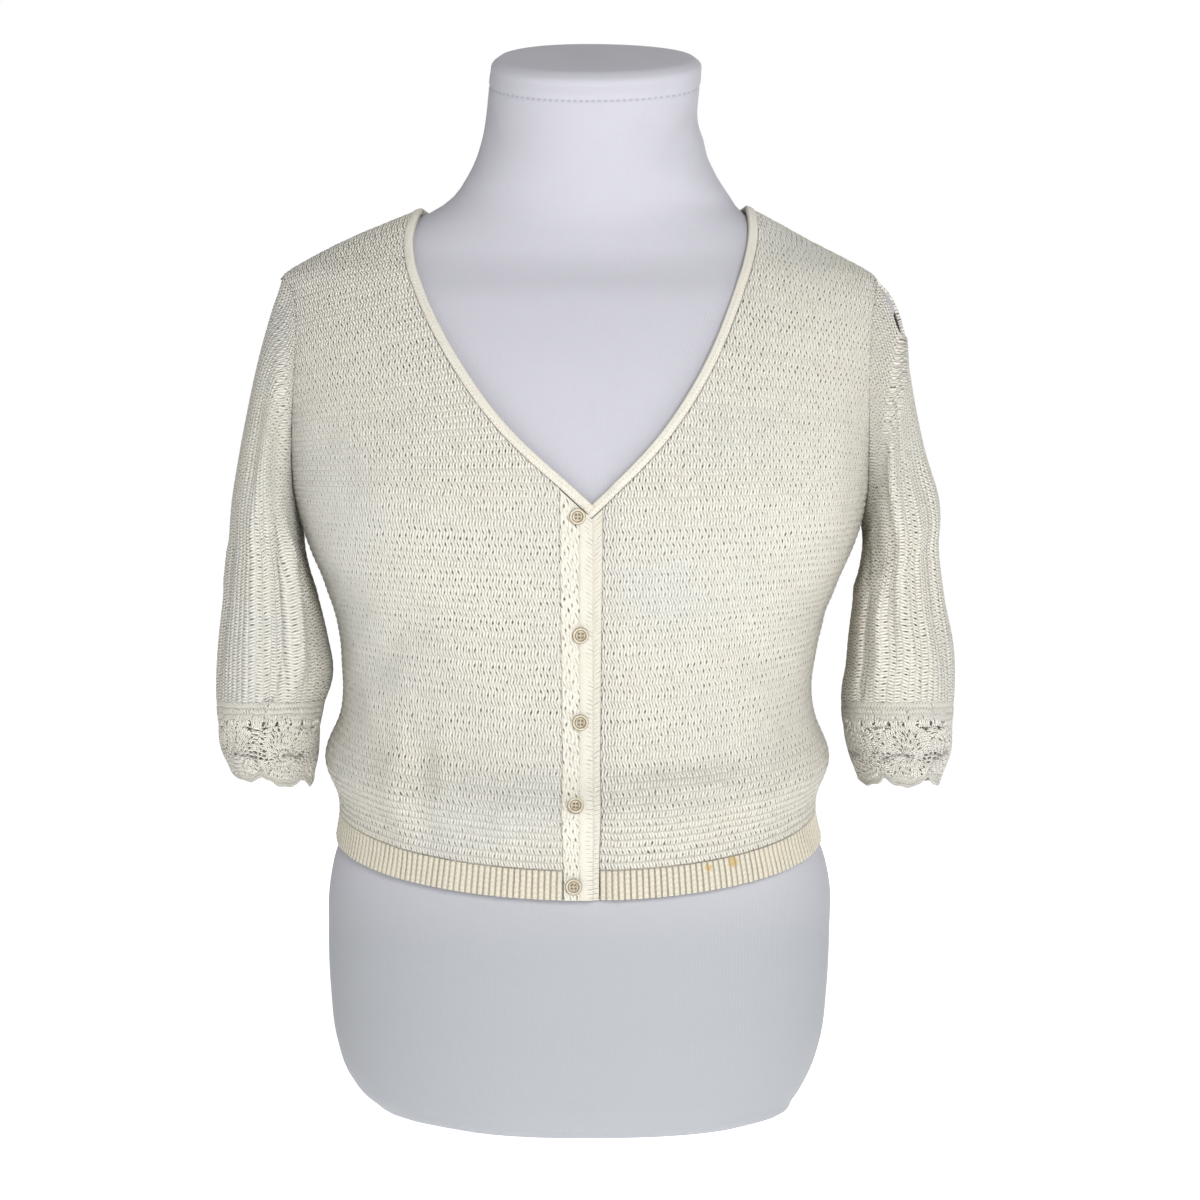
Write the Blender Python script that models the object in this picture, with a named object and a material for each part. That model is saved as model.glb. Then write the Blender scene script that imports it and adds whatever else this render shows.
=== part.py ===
"""Short-sleeved crochet-knit cardigan with a V neck, resting on a limbless dress form.

The wearer's front faces -Y and the wearer's left is +X.  The cloth's outer face is a
smooth surface read from short tables, and every panel is a patch of that surface with a
wall behind it.  Angles run round the body: 0 is centre front, -90 the wearer's right
side, +90 the left side and -180 centre back.
"""
import bpy
import bmesh
import numpy as np
from math import pi

MM = 0.001
KNIT = 2.4 * MM                  # wall of the panels and sleeves
LACE = 1.8 * MM                  # wall of the cuffs
RIB_WALL = 1.7 * MM              # rib wall in the valleys
RIB_RISE = 1.0 * MM              # how far each rib stands out
RIB_DEPTH = 19 * MM              # height of the hem rib
RIB_PITCH = 4.0 * MM
TRIM = 2.4 * MM                  # wall of bands and neck edging
TRIM_RISE = 0.4 * MM             # how far the trims stand out
EDGING_WIDTH = 6.5 * MM
QUARTER = pi / 2
HALF_SEAM = 0.15                 # half the gap between pieces, in mm
CLEAR = 0.5                      # clearance beside the front bands, in mm
LAID_CLEAR = 0.35                # under a button and round an armhole, in mm
SHOULDER_SLOPE = 0.42            # of the shoulder seam, as an angle
SHOULDER_SEAM = 0.0026           # half the shoulder seam's gap, as an angle
SIDE_SEAM = 0.0013               # half the side seam's gap, as an angle

# Cloth round the body, in mm: half widths, depths and squareness at each height.
BODY = (
    # height, right, left, front, back, squareness
    (150, 180.5, 171.5, 121.0, 132.0, 2.20),
    (163, 179.0, 170.0, 121.0, 131.0, 2.20),
    (177, 176.0, 167.5, 120.5, 129.5, 2.20),
    (190, 173.0, 163.5, 120.0, 127.0, 2.20),
    (204, 170.5, 159.5, 119.5, 123.0, 2.20),
    (216, 168.5, 157.0, 119.0, 119.5, 2.25),
    (250, 168.0, 156.0, 119.0, 112.0, 2.30),
    (300, 167.0, 155.0, 120.0, 105.0, 2.35),
    (342, 171.0, 163.0, 124.0, 103.0, 2.45),
    (370, 180.0, 173.0, 128.0, 105.0, 2.60),
    (400, 192.0, 186.0, 130.5, 108.0, 2.75),
    (430, 200.0, 193.0, 129.5, 111.0, 2.80),
    (460, 205.0, 197.0, 124.5, 112.5, 2.80),
    (490, 209.0, 202.0, 116.5, 112.5, 2.70),
    (520, 212.0, 207.0, 105.0, 109.0, 2.60),
    (545, 213.0, 210.0, 93.0, 102.0, 2.45),
    (562, 212.5, 210.5, 84.0, 96.0, 2.25),
    (580, 208.0, 197.5, 74.0, 86.0, 2.05),
    (590, 192.5, 180.5, 68.5, 78.5, 1.90),
    (602, 170.0, 157.5, 64.0, 71.5, 1.80),
    (614, 142.5, 136.0, 61.0, 66.0, 1.75),
    (626, 112.5, 113.5, 59.5, 62.5, 1.75),
    (634, 95.0, 100.0, 58.5, 61.0, 1.80),
)

# The dress form, in mm; lean lifts a section's back and lowers its front.
FORM = (
    # height, right, left, front, back, squareness, lean
    (0, 104.0, 116.0, 92.0, 84.0, 2.20, 0.00),
    (5, 130.0, 134.0, 103.0, 99.0, 2.20, 0.00),
    (14, 147.0, 142.0, 109.5, 109.0, 2.20, 0.00),
    (30, 161.5, 152.0, 114.0, 117.0, 2.20, 0.00),
    (55, 171.0, 161.0, 117.5, 124.0, 2.20, 0.00),
    (90, 175.5, 165.5, 118.0, 128.5, 2.20, 0.00),
    (130, 177.0, 167.5, 116.5, 129.0, 2.20, 0.00),
    (163, 176.0, 167.5, 113.5, 126.5, 2.20, 0.00),
    (190, 169.8, 160.5, 111.0, 121.0, 2.20, 0.00),
    (202, 164.0, 154.0, 109.0, 117.0, 2.20, 0.00),
    (216, 159.0, 148.0, 107.0, 112.0, 2.20, 0.00),
    (255, 143.0, 134.0, 100.0, 102.0, 2.20, 0.00),
    (300, 128.0, 121.0, 96.0, 93.0, 2.20, 0.00),
    (345, 138.0, 132.0, 104.0, 93.0, 2.25, 0.00),
    (385, 156.0, 150.0, 117.0, 97.0, 2.35, 0.00),
    (415, 168.0, 162.0, 122.5, 101.0, 2.45, 0.00),
    (445, 176.0, 170.0, 120.0, 104.0, 2.50, 0.00),
    (480, 187.0, 181.0, 112.0, 106.0, 2.50, 0.00),
    (515, 199.0, 194.0, 101.0, 103.5, 2.45, 0.00),
    (545, 206.5, 203.5, 88.0, 96.5, 2.35, 0.00),
    (562, 207.5, 204.0, 79.5, 90.5, 2.20, 0.00),
    (576, 200.5, 191.5, 69.5, 78.5, 2.05, 0.00),
    (587, 187.0, 174.5, 63.5, 70.5, 1.90, 0.00),
    (599, 165.5, 154.0, 60.0, 67.0, 1.80, 0.00),
    (611, 137.5, 131.5, 57.0, 61.5, 1.75, 0.00),
    (623, 107.0, 107.5, 56.5, 59.0, 1.75, 0.00),
    (633, 92.5, 100.0, 56.5, 58.0, 1.85, 0.02),
    (646, 83.0, 91.5, 57.0, 58.0, 1.95, 0.08),
    (660, 76.0, 84.5, 57.5, 58.5, 2.00, 0.14),
    (675, 71.5, 79.5, 58.0, 59.5, 2.00, 0.20),
    (690, 69.0, 77.0, 58.5, 60.0, 2.00, 0.26),
    (705, 67.5, 78.0, 59.0, 60.5, 2.05, 0.31),
    (720, 66.0, 79.5, 59.0, 60.5, 2.10, 0.34),
    (727, 64.0, 78.5, 57.5, 59.0, 2.10, 0.35),
    (730, 60.0, 74.5, 53.5, 55.0, 2.10, 0.35),
)
FORM_COLUMNS = 32
FRONT_COLUMNS = 11
BACK_COLUMNS = 21

# Hem line, in mm: the rib's top edge is level at the sides and dips at the front.
HEM_SIDE = 216
HEM_FRONT_DIP = 37
HEM_BACK_DIP = 6
HEM_CURVE = 1.3
BLOUSE = 11.0                    # how far the knit bags out over the rib
BLOUSE_HEIGHT = 36
BLOUSE_SPREAD = 21

# V neck, in mm: the opening's edge seen from the front, from its foot to the shoulder.
NECK_RIGHT = (
    # across, height
    (6, 416.5), (-2, 424), (-16.5, 438), (-45, 461), (-68.5, 491),
    (-85, 517), (-101.5, 546), (-115.5, 582), (-118.5, 605),
)
NECK_LEFT = (
    (-12, 403), (3.5, 417.5), (27, 440), (48, 461), (69, 493),
    (84.5, 522), (97, 556), (108.5, 590), (112, 610),
)
NECK_POINT = {"right": 626, "left": 628}   # height where the edge meets the shoulder
NECK_BACK = 612                            # height of the edge at centre back
NECK_BACK_CURVE = 2.5

# Overlap at centre front, in mm across.
OVER_EDGES = (-14, 5.5)          # buttonhole band
UNDER_EDGES = (-7, 9)            # button-side band
BAND_TOP_ROW = 396               # last row that both bands share
UNDER_STEP = 3.1                 # how far the under side lies behind the over side
UNDER_RAMP = (9, 24)             # the left front rises back to the surface here

# Armhole and open shoulder, in mm.
ARM_TOP = 580
ARM_FOOT = 410
ARM_FRONT = 58
ARM_BACK = 60
SLIT_ON_SHOULDER = 28            # how far the slit runs in along the shoulder seam
SLIT_ON_SLEEVE = 150             # and how far it runs down the sleeve
SLIT_WIDTH = {"right": 3.0, "left": 5.5}

# Sleeves from the armhole to the cuff's edge, in mm.
SLEEVE = {
    "right": (
        # station, outer across, outer height, inner across, inner height, front, back
        (0, 209.0, 580.0, 195.5, 410.0, 58, 60),
        (25, 217.8, 549.0, 196.0, 402.0, 61, 61),
        (55, 226.8, 512.0, 195.0, 391.0, 63, 61),
        (90, 237.2, 460.0, 191.5, 377.0, 64, 61),
        (115, 242.5, 428.0, 188.0, 366.0, 64, 61),
        (145, 245.5, 392.0, 183.0, 349.0, 63, 60),
        (175, 249.2, 358.0, 178.5, 330.0, 62, 59),
        (205, 252.8, 325.0, 175.0, 310.0, 61, 58),
        (230, 254.0, 300.0, 177.0, 296.0, 60, 58),
        (242, 253.8, 287.5, 180.5, 286.5, 60, 58),
        (262, 252.5, 268.0, 184.0, 267.0, 59, 57),
        (282, 249.0, 250.0, 186.0, 246.5, 57, 55),
        (304, 240.0, 232.5, 189.5, 225.5, 52, 51),
    ),
    "left": (
        (0, 199.0, 580.0, 189.0, 410.0, 58, 60),
        (11, 211.0, 566.5, 190.5, 406.5, 59.5, 60.5),
        (25, 218.0, 549.0, 191.5, 402.0, 61, 61),
        (55, 222.2, 512.0, 191.5, 391.0, 63, 61),
        (90, 232.3, 460.0, 189.5, 379.0, 64, 61),
        (115, 242.0, 427.0, 187.0, 368.0, 64, 61),
        (145, 242.0, 392.0, 184.0, 349.0, 63, 60),
        (175, 246.2, 358.0, 181.5, 330.0, 62, 59),
        (205, 252.5, 325.0, 179.5, 310.0, 61, 58),
        (230, 253.5, 301.0, 177.0, 296.0, 60, 58),
        (242, 252.8, 287.5, 176.5, 286.5, 60, 58),
        (262, 252.0, 268.0, 178.0, 267.0, 59, 57),
        (282, 249.5, 248.0, 183.0, 247.5, 57, 55),
        (304, 241.0, 227.0, 190.0, 227.0, 52, 51),
    ),
}
SLEEVE_SQUARENESS = 2.25
SLEEVE_ROUND = 55.0              # mean radius, in mm
SLEEVE_HOLD = 45                 # the sleeve takes the armhole's line over this length
CUFF_STATION = 242               # seam between sleeve and lace cuff
CUFF_END = 301.5
SCALLOP = 8.0                    # how far each scallop hangs below the notches
MEDALLIONS = 6                   # round each cuff
FLOWER_SHIFT = {"right": 3, "left": 0}     # cells from the outer line to a medallion's edge
FLOWER_CELLS = 7                 # cells of the cuff's grid across one medallion
EYELET_SHARE = (0.66, 0.62)      # open share of a cell, across and down
SIDE_GAP_SHARE = (0.64, 0.74)

# Folds that stand out (+) or sink in (-), in mm, on the body seen from the front.
FRONT_FOLDS = (
    # x start, height start, x end, height end, width, rise
    (-117, 190, -121, 300, 9, 3.2),
    (-101, 195, -103, 285, 8, -2.6),
    (-150, 300, -104, 352, 14, -3.0),
    (140, 300, 92, 340, 14, -3.0),
    (112, 205, 128, 262, 10, 2.4),
    (88, 196, 96, 262, 9, -2.4),
    (52, 190, 46, 232, 9, 2.0),
    (-52, 192, -46, 226, 9, 1.8),
    (-176, 470, -150, 420, 12, -2.4),
    (172, 480, 160, 396, 12, 2.8),
)
BACK_FOLDS = (
    (-120, 222, -108, 300, 10, 2.6),
    (-92, 222, -88, 280, 9, -2.2),
    (-30, 220, -24, 290, 11, 2.2),
    (34, 222, 30, 300, 10, -2.2),
    (84, 222, 92, 284, 10, 2.4),
    (126, 224, 116, 306, 9, -2.2),
    (-160, 470, -118, 430, 12, -2.2),
    (160, 472, 120, 428, 12, -2.2),
)
# Folds on a sleeve: turns from the outer line towards the front, in degrees.
SLEEVE_FOLDS = {
    "right": (
        # station start, turn start, station end, turn end, width, rise
        (95, 92, 225, 84, 9, -4.0),
        (90, 118, 200, 112, 11, 3.0),
        (20, 52, 100, 70, 11, -2.6),
        (60, 250, 200, 262, 12, -3.2),
        (110, 220, 210, 226, 12, 2.4),
        (142, 4, 170, 2, 10, 1.6),
    ),
    "left": (
        (60, 60, 215, 52, 9, -3.4),
        (70, 96, 210, 88, 12, 2.6),
        (50, 140, 130, 128, 12, -2.8),
        (60, 256, 190, 250, 12, -3.0),
        (110, 214, 210, 220, 12, 2.4),
        (112, 358, 132, 2, 10, 1.0),
    ),
}

# Buttons down the band, in mm: across and height.
BUTTONS = ((-4.9, 410), (-2.9, 333), (-3.1, 276), (-5.8, 222), (-7.5, 169))
BUTTON_RADIUS = 5.8
BUTTON_PROFILE = (
    # radius share, height in mm
    (0.00, 1.7), (0.58, 1.7), (0.80, 2.6), (0.97, 2.1), (0.97, 0.9), (0.60, 0.0), (0.00, 0.0),
)
BUTTON_SIDES = 16

# colour, roughness
FINISH = {
    "knit": ((0.80, 0.78, 0.70, 1), 0.85),
    "rib": ((0.83, 0.79, 0.68, 1), 0.85),
    "lace": ((0.82, 0.80, 0.73, 1), 0.85),
    "trim": ((0.83, 0.80, 0.70, 1), 0.85),
    "button": ((0.80, 0.74, 0.58, 1), 0.35),
    "jersey": ((0.62, 0.62, 0.68, 1), 0.70),
}


def curve(table, column, at):
    """Smooth line through one column of a table, read at the places given."""
    knots = np.array([row[0] for row in table], float)
    values = np.array([row[column] for row in table], float)
    slopes = np.gradient(values, knots)
    at = np.clip(at, knots[0], knots[-1])
    i = np.clip(np.searchsorted(knots, at) - 1, 0, len(knots) - 2)
    span = knots[i + 1] - knots[i]
    t = (at - knots[i]) / span
    start = (2 * t**3 - 3 * t**2 + 1) * values[i] + (t**3 - 2 * t**2 + t) * span * slopes[i]
    end = (3 * t**2 - 2 * t**3) * values[i + 1] + (t**3 - t**2) * span * slopes[i + 1]
    return start + end


def section(table, angle, height):
    """Rounded section of a table at an angle and a height, as x and y in mm."""
    side, ahead = np.sin(angle), np.cos(angle)
    power = curve(table, 5, height)
    reach = (np.abs(side) ** power + np.abs(ahead) ** power) ** (-1 / power)
    width = np.where(side < 0, curve(table, 1, height), curve(table, 2, height))
    depth = np.where(ahead > 0, curve(table, 3, height), curve(table, 4, height))
    return side * reach * width, -ahead * reach * depth


def creases(folds, across, along):
    """Sum of soft folds, each a line with a rounded profile and faded ends."""
    total = np.zeros(np.broadcast(across, along).shape)
    for x0, z0, x1, z1, width, rise in folds:
        run = np.array((x1 - x0, z1 - z0), float)
        length = np.hypot(*run)
        t = ((across - x0) * run[0] + (along - z0) * run[1]) / length**2
        off = ((across - x0) * run[1] - (along - z0) * run[0]) / length
        ends = np.exp(-(np.maximum(0, np.abs(t - 0.5) - 0.3) / 0.22) ** 2)
        total = total + rise * ends * np.exp(-(off / width) ** 2)
    return total


def hem_height(angle):
    """Height of the rib's top edge, in mm."""
    ahead = np.cos(angle)
    front = HEM_FRONT_DIP * np.maximum(0, ahead) ** HEM_CURVE
    back = HEM_BACK_DIP * np.maximum(0, -ahead) ** HEM_CURVE
    return HEM_SIDE - front - back


def body(angle, height):
    """Outer face of the cloth on the body, in mm."""
    x, y = section(BODY, angle, height)
    ahead = np.cos(angle)
    over_hem = (height - hem_height(angle) - BLOUSE_HEIGHT) / BLOUSE_SPREAD
    folds = np.where(ahead > 0, creases(FRONT_FOLDS, x, height), creases(BACK_FOLDS, x, height))
    out = BLOUSE * np.exp(-over_hem**2) + folds * np.abs(ahead) ** 0.6
    return np.stack((x + np.sin(angle) * out, y - ahead * out, height + 0 * x), -1)


def angle_at(across, height, front=True):
    """Angle of the body's point at a distance across and a height."""
    power = curve(BODY, 5, height)
    share = np.abs(across) / curve(BODY, 1 if across < 0 else 2, height)
    ahead = max(0.0, 1 - share**power) ** (1 / power)
    return np.arctan2(np.sign(across) * share, ahead if front else -ahead)


def angle_of(points):
    """Angle and height of points near the body's face."""
    x, y, z = np.moveaxis(points, -1, 0)
    width = np.where(x < 0, curve(BODY, 1, z), curve(BODY, 2, z))
    depth = np.where(y < 0, curve(BODY, 3, z), curve(BODY, 4, z))
    return np.stack((np.arctan2(x / width, -y / depth), z), -1)


def facing(face, u, v, step=(1e-3, 0.4)):
    """Unit normals of a surface function, pointing out."""
    along_u = face(u + step[0], v) - face(u - step[0], v)
    along_v = face(u, v + step[1]) - face(u, v - step[1])
    normal = np.cross(along_u, along_v)
    return normal / np.linalg.norm(normal, axis=-1, keepdims=True)


def even(line, count, face=body):
    """A line of surface places spread again evenly along its length."""
    points = face(line[:, 0], line[:, 1])
    run = np.concatenate(([0], np.cumsum(np.linalg.norm(np.diff(points, axis=0), axis=1))))
    at = np.linspace(0, run[-1], count)
    return np.stack([np.interp(at, run, line[:, k]) for k in (0, 1)], -1)


def beside(line, distance):
    """A line on the body moved sideways over the face, to its left as it runs."""
    points = body(line[:, 0], line[:, 1])
    tangent = np.gradient(points, axis=0)
    tangent /= np.linalg.norm(tangent, axis=1, keepdims=True)
    sideways = np.cross(facing(body, line[:, 0], line[:, 1]), tangent)
    moved = angle_of(points + sideways * distance)
    turns = np.round((line[:, 0] - moved[:, 0]) / (2 * pi))
    moved[:, 0] += 2 * pi * turns
    return moved


def patch(bottom, top, start, end, late=(1, 1)):
    """Four-sided patch between its border lines of surface places.

    late says how late the top line's own shape is felt, in angle and in height.
    """
    u = np.linspace(0, 1, len(bottom))[None, :, None]
    v = np.linspace(0, 1, len(start))[:, None, None] ** np.array(late)
    low = (1 - u) * bottom[0] + u * bottom[-1]
    high = (1 - u) * top[0] + u * top[-1]
    across = (1 - u) * start[:, None] + u * end[:, None]
    return across + (1 - v) * (bottom[None] - low) + v * (top[None] - high)


def wall(name, finish, outer, inner, joined_from=None, gaps=None):
    """Closed cloth wall between an outer and an inner grid of points in mm.

    joined_from is the row from which the last column is the first one again, and gaps
    gives the share of a cell that is open, by row and column.
    """
    rows, columns = outer.shape[:2]
    work = bmesh.new()
    sheets = []
    for grid in (outer, inner):
        made = [[work.verts.new(point * MM) for point in row] for row in grid]
        for r in range(rows if joined_from is not None else 0):
            if r >= joined_from:
                work.verts.remove(made[r][-1])
                made[r][-1] = made[r][0]
        sheets.append(made)
    out, back = sheets
    gaps = gaps or {}
    for r in range(rows - 1):
        for c in range(columns - 1):
            front = [out[r][c], out[r][c + 1], out[r + 1][c + 1], out[r + 1][c]]
            rear = [back[r][c], back[r][c + 1], back[r + 1][c + 1], back[r + 1][c]]
            if (r, c) in gaps:
                open_cell(work, front, rear, gaps[r, c])
            else:
                work.faces.new(front)
                work.faces.new(rear[::-1])
    for c in range(columns - 1):
        edge_face(work, out[0][c + 1], out[0][c], back[0][c], back[0][c + 1])
        edge_face(work, out[-1][c], out[-1][c + 1], back[-1][c + 1], back[-1][c])
    for r in range(rows - 1):
        if joined_from is None or r < joined_from:
            edge_face(work, out[r][0], out[r + 1][0], back[r + 1][0], back[r][0])
            edge_face(work, out[r + 1][-1], out[r][-1], back[r][-1], back[r + 1][-1])
    return finished(name, finish, work)


def edge_face(work, a, b, c, d):
    """Cut edge of a wall, split along its shorter diagonal so that neighbours agree."""
    if (a.co - c.co).length < (b.co - d.co).length:
        work.faces.new((a, b, c))
        work.faces.new((a, c, d))
    else:
        work.faces.new((b, c, d))
        work.faces.new((b, d, a))


def open_cell(work, front, rear, share):
    """One cell of a wall with a gap cut through its middle."""
    rings = []
    for corners in (front, rear):
        places = [np.array(vert.co) for vert in corners]
        middle = sum(places) / 4
        side = (places[1] + places[2] - places[0] - places[3]) / 4
        rise = (places[2] + places[3] - places[0] - places[1]) / 4
        steps = ((-1, -1), (1, -1), (1, 1), (-1, 1))
        rings.append([
            work.verts.new(middle + side * share[0] * i + rise * share[1] * j) for i, j in steps
        ])
    for k in range(4):
        n = (k + 1) % 4
        work.faces.new((front[k], front[n], rings[0][n], rings[0][k]))
        work.faces.new((rear[n], rear[k], rings[1][k], rings[1][n]))
        work.faces.new((rings[0][k], rings[0][n], rings[1][n], rings[1][k]))


def finished(name, finish, work):
    """Turn a bmesh into a named object with its own material, in the collection."""
    bmesh.ops.recalc_face_normals(work, faces=work.faces)
    if work.calc_volume(signed=True) < 0:
        bmesh.ops.reverse_faces(work, faces=work.faces)
    mesh = bpy.data.meshes.new(name)
    work.to_mesh(mesh)
    work.free()
    mesh.shade_smooth()
    mesh.set_sharp_from_angle(angle=0.7)
    part = bpy.data.objects.new(name, mesh)
    colour, roughness = FINISH[finish]
    material = bpy.data.materials.new(name)
    material.use_nodes = True
    shader = material.node_tree.nodes["Principled BSDF"]
    shader.inputs["Base Color"].default_value = colour
    shader.inputs["Roughness"].default_value = roughness
    shader.inputs["Metallic"].default_value = 0
    mesh.materials.append(material)
    collection.objects.link(part)
    return part


def body_wall(name, finish, places, thickness, rise=0.0, under=False):
    """Wall on the body behind a grid of surface places, in metres of thickness."""
    angle, height = places[..., 0], places[..., 1]
    face = body(angle, height)
    normal = facing(body, angle, height)
    lift = np.full(angle.shape, rise / MM)
    if under:
        ramp = np.clip((face[..., 0] - UNDER_RAMP[0]) / (UNDER_RAMP[1] - UNDER_RAMP[0]), 0, 1)
        lift = lift - UNDER_STEP * (1 - ramp * ramp * (3 - 2 * ramp))
    outer = face + normal * lift[..., None]
    return wall(name, finish, outer, outer - normal * (thickness / MM))


def neck_line(side):
    """Edge of the V from its foot to the shoulder, as evenly spread surface places."""
    table = NECK_RIGHT if side == "right" else NECK_LEFT
    places = [(angle_at(x, z), z) for x, z in table]
    turn = SHOULDER_SEAM - QUARTER if side == "right" else QUARTER - SHOULDER_SEAM
    places.append((turn, NECK_POINT[side]))
    rows = [(k, a, z) for k, (a, z) in enumerate(places)]
    steps = np.linspace(0, len(places) - 1, 241)
    return even(np.stack((curve(rows, 1, steps), curve(rows, 2, steps)), -1), 61)


def down_ridge(place, distance):
    """Place on the shoulder seam, a distance further down it."""
    angle, height = place
    run = np.linalg.norm(body(angle, height) - body(angle, height - 1.0))
    return angle, height - distance / run


def beside_neck(side, distance):
    """Line beside the V, ending on the shoulder seam."""
    line = neck_line(side)
    moved = beside(line, distance if side == "right" else -distance)
    moved[-1] = down_ridge(line[-1], distance)
    return moved


def back_neck_line():
    """Edge of the back neck from the right shoulder to the left one."""
    angle = np.linspace(-QUARTER - SHOULDER_SEAM, SHOULDER_SEAM - 3 * QUARTER, 241)
    end = np.where(angle > -pi, NECK_POINT["right"], NECK_POINT["left"])
    height = NECK_BACK + (end - NECK_BACK) * np.abs(np.sin(angle)) ** NECK_BACK_CURVE
    return even(np.stack((angle, height), -1), 57)


def beside_back_neck(distance):
    """Line below the back neck's edge, between the shoulder seams."""
    line = back_neck_line()
    moved = beside(line, distance)
    for end in (0, -1):
        moved[end] = down_ridge(line[end], distance)
    return moved


def hem_line(first, last, columns):
    """Places along the hem between two angles, evenly spread."""
    angle = np.linspace(first, last, 121)
    return even(np.stack((angle, hem_height(angle)), -1), columns)


def armhole(side, turn):
    """Seam loop of an armhole; the turn is 0 at the shoulder and 90 degrees in front."""
    height = (ARM_TOP + ARM_FOOT) / 2 + (ARM_TOP - ARM_FOOT) / 2 * np.cos(turn)
    ahead = np.sin(turn)
    y = -ahead * np.where(ahead > 0, ARM_FRONT, ARM_BACK)
    depth = np.where(ahead > 0, curve(BODY, 3, height), curve(BODY, 4, height))
    power = curve(BODY, 5, height)
    share = np.clip(np.abs(y) / depth, 0, 1)
    out = (1 - share**power) ** (1 / power)
    angle = np.arctan2(out, -y / depth)
    angle = -angle if side == "right" else angle
    return np.stack((angle, height), -1)


def slit_opening(side, inboard):
    """How far the front's shoulder edge falls forward at a distance in from the tip."""
    share = np.clip(1 - inboard / SLIT_ON_SHOULDER, 0, 1)
    return SLIT_WIDTH[side] * share**1.5


def climb(angle, low, high, steps, crowd=1.6):
    """Places up a line from the hem, closer together near the hem."""
    share = np.linspace(0, 1, steps + 1) ** crowd
    return np.stack((angle + 0 * share, low + (high - low) * share), -1)


def front_foot(side):
    """Angle where a front meets its band at the hem."""
    edge = OVER_EDGES[0] - CLEAR if side == "right" else UNDER_EDGES[1] + CLEAR
    return angle_at(edge, hem_height(0.0))


def front_panel(side):
    """One front, from the centre and neck edge to the side seam and armhole."""
    sign = -1 if side == "right" else 1
    edge = OVER_EDGES[0] - CLEAR if side == "right" else UNDER_EDGES[1] + CLEAR
    offset = EDGING_WIDTH / MM + 2 * HALF_SEAM
    neck = beside_neck(side, offset)[5::5]
    side_angle = sign * (QUARTER - SIDE_SEAM)
    ridge = np.linspace(neck[-1, 1], ARM_TOP, 31)
    inboard = (ridge - ARM_TOP) / np.sin(SHOULDER_SLOPE)
    falls = SHOULDER_SEAM + slit_opening(side, inboard) / curve(BODY, 3, ridge)
    shoulder = np.stack((sign * (QUARTER - falls), ridge), -1)
    neck[-1] = shoulder[0]
    hem = hem_line(front_foot(side), side_angle, FRONT_COLUMNS)
    hem[:, 1] += HALF_SEAM
    centre = climb(0, hem[0, 1], neck[0, 1], 9)
    corner = body(*neck[0])[0]
    slant = edge + (corner - edge) * (centre[:, 1] - hem[0, 1]) / (neck[0, 1] - hem[0, 1])
    centre[:, 0] = [angle_at(x, z) for x, z in zip(slant, centre[:, 1])]
    inner = np.concatenate((centre[:-1], neck))
    loop = armhole(side, np.linspace(pi, 0, 11))
    loop[-1] = shoulder[-1]
    loop[0, 0] = side_angle
    outer = np.concatenate((climb(side_angle, hem[-1, 1], ARM_FOOT, 10)[:-1], loop))
    return patch(hem, even(shoulder, FRONT_COLUMNS), inner, outer)


def back_panel():
    """The back, from the right side seam round to the left one."""
    first, last = -QUARTER - SIDE_SEAM, SIDE_SEAM - 3 * QUARTER
    hem = hem_line(first, last, BACK_COLUMNS)
    hem[:, 1] += HALF_SEAM
    neck = beside_back_neck(EDGING_WIDTH / MM + 2 * HALF_SEAM)[::4]
    ridges = []
    for angle, end in ((-QUARTER - SHOULDER_SEAM, neck[0]), (SHOULDER_SEAM - 3 * QUARTER, neck[-1])):
        ridges.append(np.stack((np.full(4, angle), np.linspace(ARM_TOP, end[1], 4)), -1))
    top = np.concatenate((ridges[0][:-1], neck, ridges[1][-2::-1]))
    borders = []
    for side, angle, tip in (("right", first, top[0]), ("left", last, top[-1])):
        loop = armhole(side, np.linspace(-pi, 0, 11))
        loop[:, 0] -= 2 * pi if side == "left" else 0
        loop[0, 0] = angle
        loop[-1] = tip
        side_seam = climb(angle, hem_height(angle) + HALF_SEAM, ARM_FOOT, 10)
        borders.append(np.concatenate((side_seam[:-1], loop)))
    return patch(hem, top, *borders, late=(6, 2))


def sleeve_face(side):
    """Surface function of a sleeve: turn round it from the outer line, then station."""
    table = SLEEVE[side]
    sign = -1 if side == "right" else 1

    def plain(turn, station):
        outer_x, outer_z, inner_x, inner_z, front, back = (
            curve(table, column, station) for column in range(1, 7)
        )
        away, ahead = np.cos(turn), np.sin(turn)
        power = SLEEVE_SQUARENESS
        reach = (np.abs(away) ** power + np.abs(ahead) ** power) ** (-1 / power)
        away, ahead = away * reach, ahead * reach
        x = (outer_x + inner_x) / 2 + (outer_x - inner_x) / 2 * away
        z = (outer_z + inner_z) / 2 + (outer_z - inner_z) / 2 * away
        y = -ahead * np.where(ahead > 0, front, back)
        folds = 0 * x
        for s0, t0, s1, t1, width, rise in SLEEVE_FOLDS[side]:
            middle = np.radians((t0 + t1) / 2)
            round_it = (np.mod(turn - middle + pi, 2 * pi) - pi) * SLEEVE_ROUND
            start = (np.radians(t0) - middle) * SLEEVE_ROUND
            end = (np.radians(t1) - middle) * SLEEVE_ROUND
            folds = folds + creases(((start, s0, end, s1, width, rise),), round_it, station)
        fade = np.clip(station / SLEEVE_HOLD, 0, 1)
        return np.stack((sign * (x + away * folds * fade), y - ahead * folds * fade, z), -1)

    def face(turn, station):
        points = plain(turn, station)
        loop = armhole(side, turn)
        seam = body(loop[..., 0], loop[..., 1])
        hold = np.clip(1 - station / SLEEVE_HOLD, 0, 1)[..., None] ** 1.5
        return points + (seam - plain(turn, 0 * station)) * hold

    return face


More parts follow.
